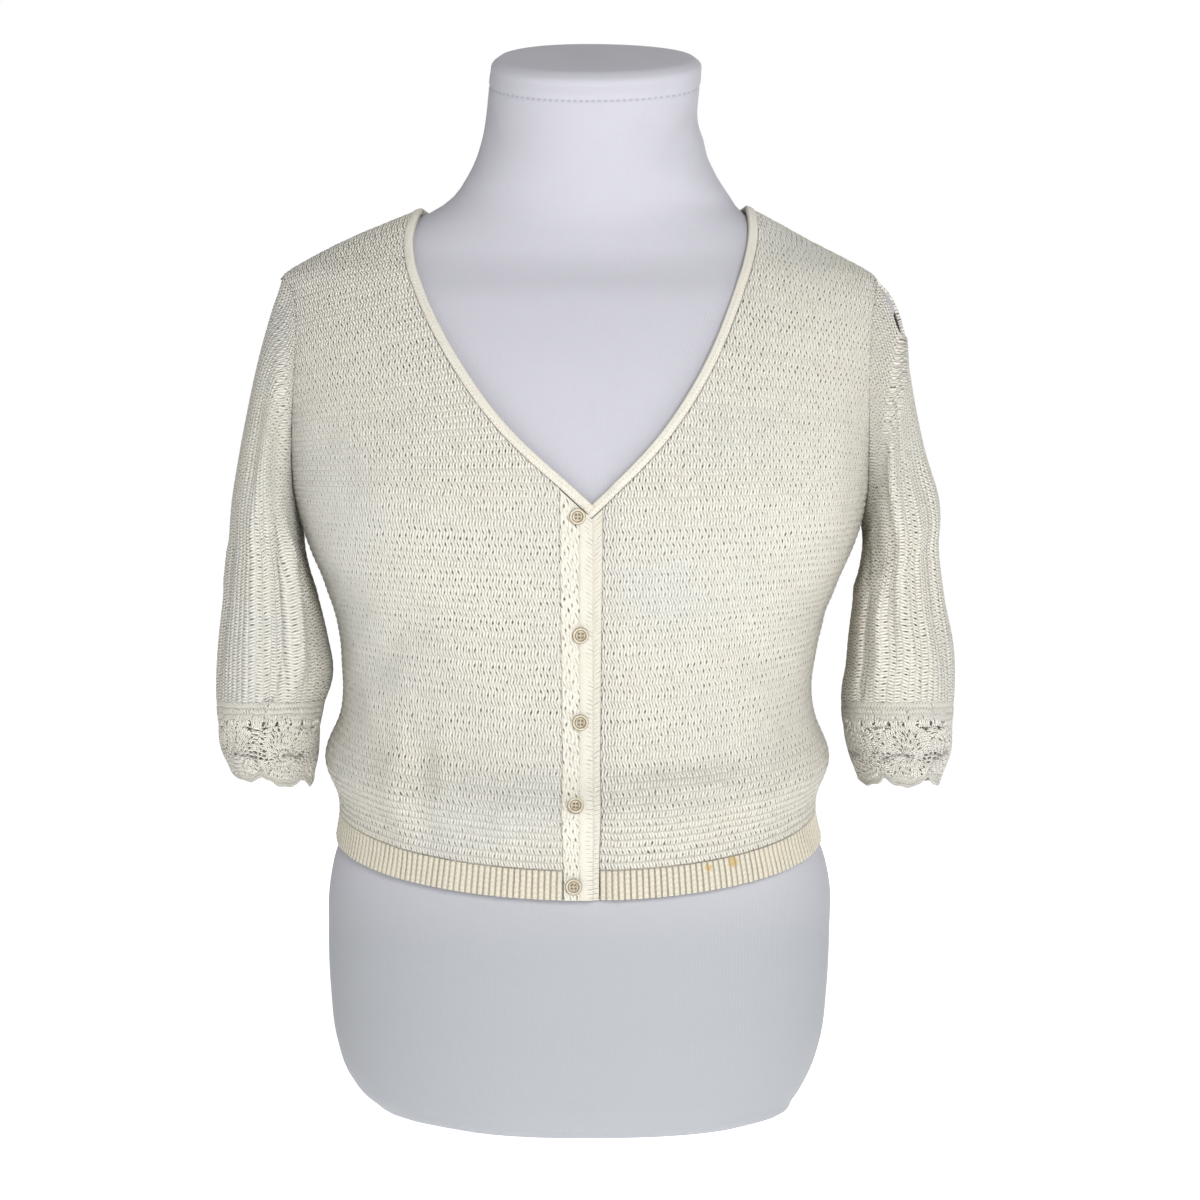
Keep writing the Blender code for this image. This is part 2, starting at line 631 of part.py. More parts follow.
def sleeve_head(side, turn, normal):
    """First row of a sleeve, just clear of the armhole's edge, and its normals."""
    sign = -1 if side == "right" else 1
    loop = armhole(side, turn)
    seam = body(loop[:, 0], loop[:, 1])
    body_normal = facing(body, loop[:, 0], loop[:, 1])
    step = armhole(side, turn + 0.01)
    tangent = body(step[:, 0], step[:, 1]) - seam
    away = np.cross(body_normal, tangent) * sign
    away /= np.linalg.norm(away, axis=-1, keepdims=True)
    under_arm = np.maximum(0, -np.cos(turn))[:, None]
    head = seam + away * LAID_CLEAR + np.array((sign, 0, 0)) * CLEAR * under_arm
    share = np.clip((np.cos(turn) + 0.2) / 0.7, 0, 1)[:, None]
    mitred = body_normal * share + normal * (1 - share)
    return head, mitred / np.linalg.norm(mitred, axis=-1, keepdims=True)


def sleeve_wall(side):
    """Sleeve tube, slit along its outer line from the shoulder down."""
    sign = -1 if side == "right" else 1
    face = sleeve_face(side)
    slit_rows = 8
    slit = np.linspace(1.4, SLIT_ON_SLEEVE, slit_rows + 1)
    closed = np.linspace(SLIT_ON_SLEEVE, CUFF_STATION - HALF_SEAM, 6)
    station = np.concatenate((slit, closed[1:]))[:, None]
    turn = np.linspace(0, 2 * pi, 21) + 0 * station
    share = np.clip(1 - station[:, 0] / SLIT_ON_SLEEVE, 0, 1)
    is_open = share > 0
    opening = HALF_SEAM + SLIT_WIDTH[side] * np.sqrt(share)
    turn[:, 0] = is_open * opening / SLEEVE_ROUND
    turn[:, -1] = 2 * pi - is_open * HALF_SEAM / SLEEVE_ROUND
    station = station + 0 * turn
    outer = face(turn, station)
    normal = sign * facing(face, turn, station)
    outer[0], normal[0] = sleeve_head(side, turn[0], normal[0])
    inner = outer - normal * (KNIT / MM)
    return wall("sleeve_" + side, "knit", outer, inner, joined_from=slit_rows)


def cuff_gaps(columns, shift):
    """Open cells of the lace: eyelets over each medallion and two gaps between each pair."""
    gaps = {}
    for c in range(columns):
        place = (c - shift) % FLOWER_CELLS
        if place in (0, 2, 4, 6):
            gaps[0, c] = EYELET_SHARE
        if place in (0, 6):
            gaps[4, c] = SIDE_GAP_SHARE
    return gaps


def cuff_wall(side, half):
    """Half of a lace cuff, with its scalloped edge and the larger gaps cut through."""
    sign = -1 if side == "right" else 1
    face = sleeve_face(side)
    columns, rows = MEDALLIONS * FLOWER_CELLS // 2 + 1, 8
    seam = HALF_SEAM / SLEEVE_ROUND
    start = 0 if half == "front" else pi
    turns = np.linspace(start + seam, start + pi - seam, columns)
    phase = turns - 2 * pi / MEDALLIONS * FLOWER_SHIFT[side] / FLOWER_CELLS
    lobe = np.abs(np.sin(MEDALLIONS / 2 * phase)) ** 0.6
    down = np.linspace(0, 1, rows)[:, None]
    low = CUFF_STATION + HALF_SEAM
    station = low + (CUFF_END - SCALLOP - low + SCALLOP * lobe[None]) * down
    turn = np.repeat(turns[None], rows, 0)
    outer = face(turn, station)
    normal = sign * facing(face, turn, station)
    inner = outer - normal * (LACE / MM)
    gaps = cuff_gaps(columns - 1, FLOWER_SHIFT[side])
    return wall(f"cuff_{side}_{half}", "lace", outer, inner, gaps=gaps)


def rib_wall(name, first, last, columns, under=False):
    """Run of the hem rib between two angles: ribs raised over a plain inside."""
    line = hem_line(first, last, columns)
    points = body(line[:, 0], line[:, 1])
    run = np.concatenate(([0], np.cumsum(np.linalg.norm(np.diff(points, axis=0), axis=1))))
    ribs = int(round(run[-1] * MM / RIB_PITCH))
    spread = np.linspace(0, run[-1], 2 * ribs + 1)
    angle = np.interp(spread, run, line[:, 0])
    angle = np.stack((angle, angle))
    top = np.interp(spread, run, line[:, 1]) - HALF_SEAM
    height = np.stack((top - RIB_DEPTH / MM, top))
    face = body(angle, height)
    normal = facing(body, angle, height)
    if under:
        ramp = np.clip((face[..., 0] - UNDER_RAMP[0]) / (UNDER_RAMP[1] - UNDER_RAMP[0]), 0, 1)
        lift = UNDER_STEP * (1 - ramp * ramp * (3 - 2 * ramp))
        face = face - normal * lift[..., None]
    rise = np.where(np.arange(2 * ribs + 1) % 2 == 1, 0, -RIB_RISE / MM)
    outer = face + normal * rise[None, :, None]
    inner = (face - normal * ((RIB_WALL + RIB_RISE) / MM))[:, ::2]
    work = bmesh.new()
    out = [[work.verts.new(point * MM) for point in row] for row in outer]
    back = [[work.verts.new(point * MM) for point in row] for row in inner]
    for c in range(2 * ribs):
        work.faces.new((out[0][c], out[0][c + 1], out[1][c + 1], out[1][c]))
    for c in range(ribs):
        k = 2 * c
        work.faces.new((back[0][c + 1], back[0][c], back[1][c], back[1][c + 1]))
        work.faces.new((out[1][k], out[1][k + 1], out[1][k + 2], back[1][c + 1], back[1][c]))
        work.faces.new((out[0][k + 2], out[0][k + 1], out[0][k], back[0][c], back[0][c + 1]))
    edge_face(work, out[0][0], out[1][0], back[1][0], back[0][0])
    edge_face(work, out[1][-1], out[0][-1], back[0][-1], back[1][-1])
    return finished(name, "rib", work)


def band_places(side):
    """Grid of surface places for a front band, from the rib's edge to the V."""
    sign = -1 if side == "right" else 1
    edges = OVER_EDGES if side == "right" else UNDER_EDGES
    neck = beside_neck(side, EDGING_WIDTH / MM + 4 * HALF_SEAM)
    points = body(neck[:6, 0], neck[:6, 1])
    slope = (points[5, 2] - points[0, 2]) / (points[5, 0] - points[0, 0])
    corner = points[5, 0] - 2 * HALF_SEAM * sign
    outer_edge = edges[0] if side == "right" else edges[1]
    foot = hem_height(0.0) - RIB_DEPTH / MM - HALF_SEAM
    below = climb(0, foot, BAND_TOP_ROW, 16)[:, 1]
    grid = []
    for x in np.linspace(*edges, 3):
        head_x = x + (corner - outer_edge) * (x == outer_edge)
        head = points[0, 2] + slope * (head_x - points[0, 0])
        column = [(x + (head_x - x) * (z - foot) / (head - foot), z) for z in (*below, head)]
        grid.append([(angle_at(*place), place[1]) for place in column])
    return np.swapaxes(np.array(grid), 0, 1)


def edging_places(line_at, every):
    """Grid of surface places for an edging strip; line_at gives a line by its distance."""
    return np.stack([line_at(d)[::every] for d in np.linspace(0, EDGING_WIDTH / MM, 3)], 1)


def trim_wall(name, places, under=False):
    """Band or edging with a softly raised middle."""
    return body_wall(name, "trim", places, TRIM, TRIM_RISE, under)


def button(number, across, height):
    """Turned button, its back just clear of the band."""
    angle = np.array(angle_at(across, height))
    place = body(angle, np.array(float(height)))
    normal = facing(body, angle, np.array(float(height)))
    seat = place + normal * (TRIM_RISE / MM + LAID_CLEAR)
    work = bmesh.new()
    profile = [
        work.verts.new((BUTTON_RADIUS * share * MM, 0, z * MM)) for share, z in BUTTON_PROFILE
    ]
    edges = [work.edges.new(pair) for pair in zip(profile, profile[1:])]
    bmesh.ops.spin(work, geom=profile + edges, cent=(0, 0, 0), axis=(0, 0, 1), dvec=(0, 0, 0),
                   angle=2 * pi, steps=BUTTON_SIDES, use_merge=False, use_duplicate=False)
    bmesh.ops.remove_doubles(work, verts=work.verts, dist=0.01 * MM)
    across_it = np.cross((0, 0, 1), normal)
    across_it /= np.linalg.norm(across_it)
    upward = np.cross(normal, across_it)
    for vert in work.verts:
        x, y, z = vert.co
        vert.co = seat * MM + across_it * x + upward * y + normal * z
    return finished(f"button_{number}", "button", work)


def dress_form():
    """Limbless form: rounded sections from its flat underside to the leaning neck top."""
    angle = np.linspace(-pi, pi, FORM_COLUMNS + 1)[:-1]
    work = bmesh.new()
    rings = []
    for row in FORM:
        height = np.full(angle.shape, float(row[0]))
        x, y = section(FORM, angle, height)
        ring = np.stack((x, y, height + row[6] * y), -1)
        rings.append([work.verts.new(point * MM) for point in ring])
    for low, high in zip(rings, rings[1:]):
        for k in range(FORM_COLUMNS):
            n = (k + 1) % FORM_COLUMNS
            work.faces.new((low[k], low[n], high[n], high[k]))
    work.faces.new(rings[0][::-1])
    work.faces.new(rings[-1])
    return finished("dress_form", "jersey", work)


for old in list(bpy.data.objects):
    bpy.data.objects.remove(old)
collection = bpy.data.collections.new("cardigan_on_dress_form")
bpy.context.scene.collection.children.link(collection)

dress_form()
body_wall("back", "knit", back_panel(), KNIT)
body_wall("front_right", "knit", front_panel("right"), KNIT)
body_wall("front_left", "knit", front_panel("left"), KNIT, under=True)
for side in ("right", "left"):
    sleeve_wall(side)
    for half in ("front", "back"):
        cuff_wall(side, half)
trim_wall("band_right", band_places("right"))
trim_wall("band_left", band_places("left"), under=True)
trim_wall("edging_right", edging_places(lambda d: beside_neck("right", d), 5))
trim_wall("edging_left", edging_places(lambda d: beside_neck("left", d), 5), under=True)
trim_wall("edging_back", edging_places(beside_back_neck, 4))
rib_wall("rib_right", front_foot("right"), SIDE_SEAM - QUARTER, FRONT_COLUMNS)
rib_wall("rib_left", front_foot("left"), QUARTER - SIDE_SEAM, FRONT_COLUMNS, under=True)
rib_wall("rib_back", -QUARTER - SIDE_SEAM, SIDE_SEAM - 3 * QUARTER, BACK_COLUMNS)
for number, (across, height) in enumerate(BUTTONS, 1):
    button(number, across, height)
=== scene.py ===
"""Looks of a crochet-knit cardigan on a limbless dress form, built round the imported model.

Every cloth piece is a patch of one smooth surface, which short tables give in millimetres.
Its stitches stand out from that surface, and a wall closes it behind.  The wearer's front
faces -Y and the wearer's left is +X; angle 0 is centre front and -180 centre back.
"""

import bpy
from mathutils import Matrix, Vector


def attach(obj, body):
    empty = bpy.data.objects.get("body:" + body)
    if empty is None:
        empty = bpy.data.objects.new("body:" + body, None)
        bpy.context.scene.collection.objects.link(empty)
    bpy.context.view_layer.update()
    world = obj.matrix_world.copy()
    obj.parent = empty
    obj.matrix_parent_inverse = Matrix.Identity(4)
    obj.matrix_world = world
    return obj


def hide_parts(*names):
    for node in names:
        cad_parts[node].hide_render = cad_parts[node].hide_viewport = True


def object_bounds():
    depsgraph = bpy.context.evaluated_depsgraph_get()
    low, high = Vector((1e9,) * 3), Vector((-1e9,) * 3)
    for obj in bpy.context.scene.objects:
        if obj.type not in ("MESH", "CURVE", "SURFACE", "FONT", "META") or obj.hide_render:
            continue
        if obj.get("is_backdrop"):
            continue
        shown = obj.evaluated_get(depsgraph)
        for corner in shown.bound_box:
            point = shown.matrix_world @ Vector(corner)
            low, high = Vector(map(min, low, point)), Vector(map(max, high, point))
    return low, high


bl_info = {
    "name": "Cardigan on a dress form",
    "version": (1, 0, 0),
    "blender": (4, 5, 0),
    "location": "3D View > Sidebar > Cardigan",
    "description": "Builds the knitted cloth, lace, buttons, form cover and stage",
    "category": "Object",
}

from math import pi, radians

import bmesh
import bpy
import numpy as np
from bpy.props import FloatProperty, FloatVectorProperty, PointerProperty
from mathutils import Matrix, Vector

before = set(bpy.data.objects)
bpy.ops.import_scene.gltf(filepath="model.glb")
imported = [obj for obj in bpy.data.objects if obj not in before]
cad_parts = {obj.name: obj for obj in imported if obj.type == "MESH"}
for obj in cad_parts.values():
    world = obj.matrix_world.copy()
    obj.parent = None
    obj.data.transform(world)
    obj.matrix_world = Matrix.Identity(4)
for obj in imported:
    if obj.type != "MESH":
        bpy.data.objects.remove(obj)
CAD_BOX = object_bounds()

MM = 0.001
QUARTER = pi / 2
HALF_SEAM = 0.15                 # half the gap between pieces, in mm
CLEAR = 0.5                      # clearance beside the front bands, in mm
LAID_CLEAR = 0.35                # round an armhole, in mm
SHOULDER_SLOPE = 0.42            # of the shoulder seam, as an angle
SHOULDER_SEAM = 0.0026           # half the shoulder seam's gap, as an angle
SIDE_SEAM = 0.0013               # half the side seam's gap, as an angle
KNIT = 2.4                       # wall of the panels and sleeves, in mm
LACE = 1.5                       # wall of the cuffs
RIB_DEPTH = 19.0
TRIM = 2.4
TRIM_RISE = 0.4
EDGING_WIDTH = 6.5
INNER_STEP = 5                   # the inside is this much coarser than the face

# Cloth round the body, in mm: half widths, depths and squareness at each height.
BODY = (
    # height, right, left, front, back, squareness
    (150, 180.5, 171.5, 121.0, 132.0, 2.20),
    (163, 179.0, 170.0, 121.0, 131.0, 2.20),
    (177, 176.0, 167.5, 120.5, 129.5, 2.20),
    (190, 173.0, 163.5, 120.0, 127.0, 2.20),
    (204, 170.5, 159.5, 119.5, 123.0, 2.20),
    (216, 168.5, 157.0, 119.0, 119.5, 2.25),
    (250, 168.0, 156.0, 119.0, 112.0, 2.30),
    (300, 167.0, 155.0, 120.0, 105.0, 2.35),
    (342, 171.0, 163.0, 124.0, 103.0, 2.45),
    (370, 180.0, 173.0, 128.0, 105.0, 2.60),
    (400, 192.0, 186.0, 130.5, 108.0, 2.75),
    (430, 200.0, 193.0, 129.5, 111.0, 2.80),
    (460, 205.0, 197.0, 124.5, 112.5, 2.80),
    (490, 209.0, 202.0, 116.5, 112.5, 2.70),
    (520, 212.0, 207.0, 105.0, 109.0, 2.60),
    (545, 213.0, 210.0, 93.0, 102.0, 2.45),
    (562, 212.5, 210.5, 84.0, 96.0, 2.25),
    (580, 208.0, 197.5, 74.0, 86.0, 2.05),
    (590, 192.5, 180.5, 68.5, 78.5, 1.90),
    (602, 170.0, 157.5, 64.0, 71.5, 1.80),
    (614, 142.5, 136.0, 61.0, 66.0, 1.75),
    (626, 112.5, 113.5, 59.5, 62.5, 1.75),
    (634, 95.0, 100.0, 58.5, 61.0, 1.80),
)

# The dress form, in mm; lean lifts a section's back and lowers its front.
FORM = (
    # height, right, left, front, back, squareness, lean
    (0, 104.0, 116.0, 92.0, 84.0, 2.20, 0.00),
    (5, 130.0, 134.0, 103.0, 99.0, 2.20, 0.00),
    (14, 147.0, 142.0, 109.5, 109.0, 2.20, 0.00),
    (30, 161.5, 152.0, 114.0, 117.0, 2.20, 0.00),
    (55, 171.0, 161.0, 117.5, 124.0, 2.20, 0.00),
    (90, 175.5, 165.5, 118.0, 128.5, 2.20, 0.00),
    (130, 177.0, 167.5, 116.5, 129.0, 2.20, 0.00),
    (163, 176.0, 167.5, 113.5, 126.5, 2.20, 0.00),
    (190, 169.8, 160.5, 111.0, 121.0, 2.20, 0.00),
    (202, 164.0, 154.0, 109.0, 117.0, 2.20, 0.00),
    (216, 159.0, 148.0, 107.0, 112.0, 2.20, 0.00),
    (255, 143.0, 134.0, 100.0, 102.0, 2.20, 0.00),
    (300, 128.0, 121.0, 96.0, 93.0, 2.20, 0.00),
    (345, 138.0, 132.0, 104.0, 93.0, 2.25, 0.00),
    (385, 156.0, 150.0, 117.0, 97.0, 2.35, 0.00),
    (415, 168.0, 162.0, 122.5, 101.0, 2.45, 0.00),
    (445, 176.0, 170.0, 120.0, 104.0, 2.50, 0.00),
    (480, 187.0, 181.0, 112.0, 106.0, 2.50, 0.00),
    (515, 199.0, 194.0, 101.0, 103.5, 2.45, 0.00),
    (545, 206.5, 203.5, 88.0, 96.5, 2.35, 0.00),
    (562, 207.5, 204.0, 79.5, 90.5, 2.20, 0.00),
    (576, 200.5, 191.5, 69.5, 78.5, 2.05, 0.00),
    (587, 187.0, 174.5, 63.5, 70.5, 1.90, 0.00),
    (599, 165.5, 154.0, 60.0, 67.0, 1.80, 0.00),
    (611, 137.5, 131.5, 57.0, 61.5, 1.75, 0.00),
    (623, 107.0, 107.5, 56.5, 59.0, 1.75, 0.00),
    (633, 92.5, 100.0, 56.5, 58.0, 1.85, 0.02),
    (646, 83.0, 91.5, 57.0, 58.0, 1.95, 0.08),
    (660, 76.0, 84.5, 57.5, 58.5, 2.00, 0.14),
    (675, 71.5, 79.5, 58.0, 59.5, 2.00, 0.20),
    (690, 69.0, 77.0, 58.5, 60.0, 2.00, 0.26),
    (705, 67.5, 78.0, 59.0, 60.5, 2.05, 0.31),
    (720, 66.0, 79.5, 59.0, 60.5, 2.10, 0.34),
    (727, 64.0, 78.5, 57.5, 59.0, 2.10, 0.35),
    (730, 60.0, 74.5, 53.5, 55.0, 2.10, 0.35),
)

# Hem line, in mm: the rib's top edge is level at the sides and dips at the front.
HEM_SIDE = 216
HEM_FRONT_DIP = 37
HEM_BACK_DIP = 6
HEM_CURVE = 1.3
BLOUSE = 11.0                    # how far the knit bags out over the rib
BLOUSE_HEIGHT = 36
BLOUSE_SPREAD = 21

# V neck, in mm: the opening's edge seen from the front, from its foot to the shoulder.
NECK_RIGHT = (
    # across, height
    (6, 416.5), (-2, 424), (-16.5, 438), (-45, 461), (-68.5, 491),
    (-85, 517), (-101.5, 546), (-115.5, 582), (-118.5, 605),
)
NECK_LEFT = (
    (-12, 403), (3.5, 417.5), (27, 440), (48, 461), (69, 493),
    (84.5, 522), (97, 556), (108.5, 590), (112, 610),
)
NECK_POINT = {"right": 626, "left": 628}   # height where the edge meets the shoulder
NECK_BACK = 612                            # height of the edge at centre back
NECK_BACK_CURVE = 2.5

# Overlap at centre front, in mm across.
OVER_EDGES = (-14, 5.5)          # buttonhole band
UNDER_EDGES = (-7, 9)            # button-side band
UNDER_STEP = 3.1                 # how far the under side lies behind the over side
UNDER_RAMP = (9, 24)             # the left front rises back to the surface here

# Armhole and open shoulder, in mm.
ARM_TOP = 580
ARM_FOOT = 410
ARM_FRONT = 58
ARM_BACK = 60
SLIT_ON_SHOULDER = 28            # how far the slit runs in along the shoulder seam
SLIT_ON_SLEEVE = 150             # and how far it runs down the sleeve
SLIT_WIDTH = {"right": 3.0, "left": 5.5}

# Sleeves from the armhole to the cuff's edge, in mm.
SLEEVE = {
    "right": (
        # station, outer across, outer height, inner across, inner height, front, back
        (0, 209.0, 580.0, 195.5, 410.0, 58, 60),
        (25, 217.8, 549.0, 196.0, 402.0, 61, 61),
        (55, 226.8, 512.0, 195.0, 391.0, 63, 61),
        (90, 237.2, 460.0, 191.5, 377.0, 64, 61),
        (115, 242.5, 428.0, 188.0, 366.0, 64, 61),
        (145, 245.5, 392.0, 183.0, 349.0, 63, 60),
        (175, 249.2, 358.0, 178.5, 330.0, 62, 59),
        (205, 252.8, 325.0, 175.0, 310.0, 61, 58),
        (230, 254.0, 300.0, 177.0, 296.0, 60, 58),
        (242, 253.8, 287.5, 180.5, 286.5, 60, 58),
        (262, 252.5, 268.0, 184.0, 267.0, 59, 57),
        (282, 249.0, 250.0, 186.0, 246.5, 57, 55),
        (304, 240.0, 232.5, 189.5, 225.5, 52, 51),
    ),
    "left": (
        (0, 199.0, 580.0, 189.0, 410.0, 58, 60),
        (11, 211.0, 566.5, 190.5, 406.5, 59.5, 60.5),
        (25, 218.0, 549.0, 191.5, 402.0, 61, 61),
        (55, 222.2, 512.0, 191.5, 391.0, 63, 61),
        (90, 232.3, 460.0, 189.5, 379.0, 64, 61),
        (115, 242.0, 427.0, 187.0, 368.0, 64, 61),
        (145, 242.0, 392.0, 184.0, 349.0, 63, 60),
        (175, 246.2, 358.0, 181.5, 330.0, 62, 59),
        (205, 252.5, 325.0, 179.5, 310.0, 61, 58),
        (230, 253.5, 301.0, 177.0, 296.0, 60, 58),
        (242, 252.8, 287.5, 176.5, 286.5, 60, 58),
        (262, 252.0, 268.0, 178.0, 267.0, 59, 57),
        (282, 249.5, 248.0, 183.0, 247.5, 57, 55),
        (304, 241.0, 227.0, 190.0, 227.0, 52, 51),
    ),
}
SLEEVE_SQUARENESS = 2.25
SLEEVE_ROUND = 55.0              # mean radius, in mm
SLEEVE_HOLD = 45                 # the sleeve takes the armhole's line over this length
CUFF_STATION = 242               # seam between sleeve and lace cuff
CUFF_END = 301.5
SCALLOP = 8.0                    # how far each scallop hangs below the notches
MEDALLIONS = 6                   # round each cuff
FLOWER_SHIFT = {"right": 3, "left": 0}     # cells from the outer line to a medallion's edge
FLOWER_CELLS = 7                 # cells of the cuff's grid across one medallion

# Folds that stand out (+) or sink in (-), in mm, on the body seen from the front.
FRONT_FOLDS = (
    # x start, height start, x end, height end, width, rise
    (-117, 190, -121, 300, 9, 3.2),
    (-101, 195, -103, 285, 8, -2.6),
    (-150, 300, -104, 352, 14, -3.0),
    (140, 300, 92, 340, 14, -3.0),
    (112, 205, 128, 262, 10, 2.4),
    (88, 196, 96, 262, 9, -2.4),
    (52, 190, 46, 232, 9, 2.0),
    (-52, 192, -46, 226, 9, 1.8),
    (-176, 470, -150, 420, 12, -2.4),
    (172, 480, 160, 396, 12, 2.8),
)
BACK_FOLDS = (
    (-120, 222, -108, 300, 10, 2.6),
    (-92, 222, -88, 280, 9, -2.2),
    (-30, 220, -24, 290, 11, 2.2),
    (34, 222, 30, 300, 10, -2.2),
    (84, 222, 92, 284, 10, 2.4),
    (126, 224, 116, 306, 9, -2.2),
    (-160, 470, -118, 430, 12, -2.2),
    (160, 472, 120, 428, 12, -2.2),
)
# Folds on a sleeve: turns from the outer line towards the front, in degrees.
SLEEVE_FOLDS = {
    "right": (
        # station start, turn start, station end, turn end, width, rise
        (95, 92, 225, 84, 9, -4.0),
        (90, 118, 200, 112, 11, 3.0),
        (20, 52, 100, 70, 11, -2.6),
        (60, 250, 200, 262, 12, -3.2),
        (110, 220, 210, 226, 12, 2.4),
        (142, 4, 170, 2, 10, 1.6),
    ),
    "left": (
        (60, 60, 215, 52, 9, -3.4),
        (70, 96, 210, 88, 12, 2.6),
        (50, 140, 130, 128, 12, -2.8),
        (60, 256, 190, 250, 12, -3.0),
        (110, 214, 210, 220, 12, 2.4),
        (112, 358, 132, 2, 10, 1.0),
    ),
}

BUTTONS = ((-4.9, 410), (-2.9, 333), (-3.1, 276), (-5.8, 222), (-7.5, 169))


def curve(table, column, at):
    """Smooth line through one column of a table, read at the places given."""
    knots = np.array([row[0] for row in table], float)
    values = np.array([row[column] for row in table], float)
    slopes = np.gradient(values, knots)
    at = np.clip(at, knots[0], knots[-1])
    i = np.clip(np.searchsorted(knots, at) - 1, 0, len(knots) - 2)
    span = knots[i + 1] - knots[i]
    t = (at - knots[i]) / span
    start = (2 * t**3 - 3 * t**2 + 1) * values[i] + (t**3 - 2 * t**2 + t) * span * slopes[i]
    end = (3 * t**2 - 2 * t**3) * values[i + 1] + (t**3 - t**2) * span * slopes[i + 1]
    return start + end


def section(table, angle, height):
    """Rounded section of a table at an angle and a height, as x and y in mm."""
    side, ahead = np.sin(angle), np.cos(angle)
    power = curve(table, 5, height)
    reach = (np.abs(side) ** power + np.abs(ahead) ** power) ** (-1 / power)
    width = np.where(side < 0, curve(table, 1, height), curve(table, 2, height))
    depth = np.where(ahead > 0, curve(table, 3, height), curve(table, 4, height))
    return side * reach * width, -ahead * reach * depth


def creases(folds, across, along):
    """Sum of soft folds, each a line with a rounded profile and faded ends."""
    total = np.zeros(np.broadcast(across, along).shape)
    for x0, z0, x1, z1, width, rise in folds:
        run = np.array((x1 - x0, z1 - z0), float)
        length = np.hypot(*run)
        t = ((across - x0) * run[0] + (along - z0) * run[1]) / length**2
        off = ((across - x0) * run[1] - (along - z0) * run[0]) / length
        ends = np.exp(-(np.maximum(0, np.abs(t - 0.5) - 0.3) / 0.22) ** 2)
        total = total + rise * ends * np.exp(-(off / width) ** 2)
    return total


def hem_height(angle):
    """Height of the rib's top edge, in mm."""
    ahead = np.cos(angle)
    front = HEM_FRONT_DIP * np.maximum(0, ahead) ** HEM_CURVE
    back = HEM_BACK_DIP * np.maximum(0, -ahead) ** HEM_CURVE
    return HEM_SIDE - front - back


def body(angle, height):
    """Outer face of the cloth on the body, in mm."""
    x, y = section(BODY, angle, height)
    ahead = np.cos(angle)
    over_hem = (height - hem_height(angle) - BLOUSE_HEIGHT) / BLOUSE_SPREAD
    folds = np.where(ahead > 0, creases(FRONT_FOLDS, x, height), creases(BACK_FOLDS, x, height))
    out = BLOUSE * np.exp(-over_hem**2) + folds * np.abs(ahead) ** 0.6
    return np.stack((x + np.sin(angle) * out, y - ahead * out, height + 0 * x), -1)


def angle_at(across, height, front=True):
    """Angle of the body's point at a distance across and a height."""
    power = curve(BODY, 5, height)
    share = np.abs(across) / curve(BODY, 1 if across < 0 else 2, height)
    ahead = max(0.0, 1 - share**power) ** (1 / power)
    return np.arctan2(np.sign(across) * share, ahead if front else -ahead)


def angle_of(points):
    """Angle and height of points near the body's face."""
    x, y, z = np.moveaxis(points, -1, 0)
    width = np.where(x < 0, curve(BODY, 1, z), curve(BODY, 2, z))
    depth = np.where(y < 0, curve(BODY, 3, z), curve(BODY, 4, z))
    return np.stack((np.arctan2(x / width, -y / depth), z), -1)


def facing(face, u, v, step=(1e-3, 0.4)):
    """Unit normals of a surface function, pointing out."""
    along_u = face(u + step[0], v) - face(u - step[0], v)
    along_v = face(u, v + step[1]) - face(u, v - step[1])
    normal = np.cross(along_u, along_v)
    return normal / np.linalg.norm(normal, axis=-1, keepdims=True)


def run_along(points):
    """Length run along a line of points, or along each row of a grid of them."""
    steps = np.linalg.norm(np.diff(points, axis=-2), axis=-1)
    return np.concatenate((0 * steps[..., :1], np.cumsum(steps, -1)), -1)


def even(line, count):
    """A line of places on the body spread again evenly along its length."""
    run = run_along(body(line[:, 0], line[:, 1]))
    at = np.linspace(0, run[-1], count)
    return np.stack([np.interp(at, run, line[:, k]) for k in (0, 1)], -1)


def beside(line, distance):
    """A line on the body moved sideways over the face, to its left as it runs."""
    points = body(line[:, 0], line[:, 1])
    tangent = np.gradient(points, axis=0)
    tangent /= np.linalg.norm(tangent, axis=1, keepdims=True)
    sideways = np.cross(facing(body, line[:, 0], line[:, 1]), tangent)
    moved = angle_of(points + sideways * distance)
    turns = np.round((line[:, 0] - moved[:, 0]) / (2 * pi))
    moved[:, 0] += 2 * pi * turns
    return moved


def patch(bottom, top, start, end, late=(1, 1)):
    """Four-sided patch between its border lines of surface places.

    late says how late the top line's own shape is felt, in angle and in height.
    """
    u = np.linspace(0, 1, len(bottom))[None, :, None]
    v = np.linspace(0, 1, len(start))[:, None, None] ** np.array(late)
    low = (1 - u) * bottom[0] + u * bottom[-1]
    high = (1 - u) * top[0] + u * top[-1]
    across = (1 - u) * start[:, None] + u * end[:, None]
    return across + (1 - v) * (bottom[None] - low) + v * (top[None] - high)


def down_ridge(place, distance):
    """Place on the shoulder seam, a distance further down it."""
    angle, height = place
    run = np.linalg.norm(body(angle, height) - body(angle, height - 1.0))
    return angle, height - distance / run


def armhole(side, turn):
    """Seam loop of an armhole; the turn is 0 at the shoulder and 90 degrees in front."""
    height = (ARM_TOP + ARM_FOOT) / 2 + (ARM_TOP - ARM_FOOT) / 2 * np.cos(turn)
    ahead = np.sin(turn)
    y = -ahead * np.where(ahead > 0, ARM_FRONT, ARM_BACK)
    depth = np.where(ahead > 0, curve(BODY, 3, height), curve(BODY, 4, height))
    power = curve(BODY, 5, height)
    share = np.clip(np.abs(y) / depth, 0, 1)
    out = (1 - share**power) ** (1 / power)
    angle = np.arctan2(out, -y / depth)
    angle = -angle if side == "right" else angle
    return np.stack((angle, height), -1)


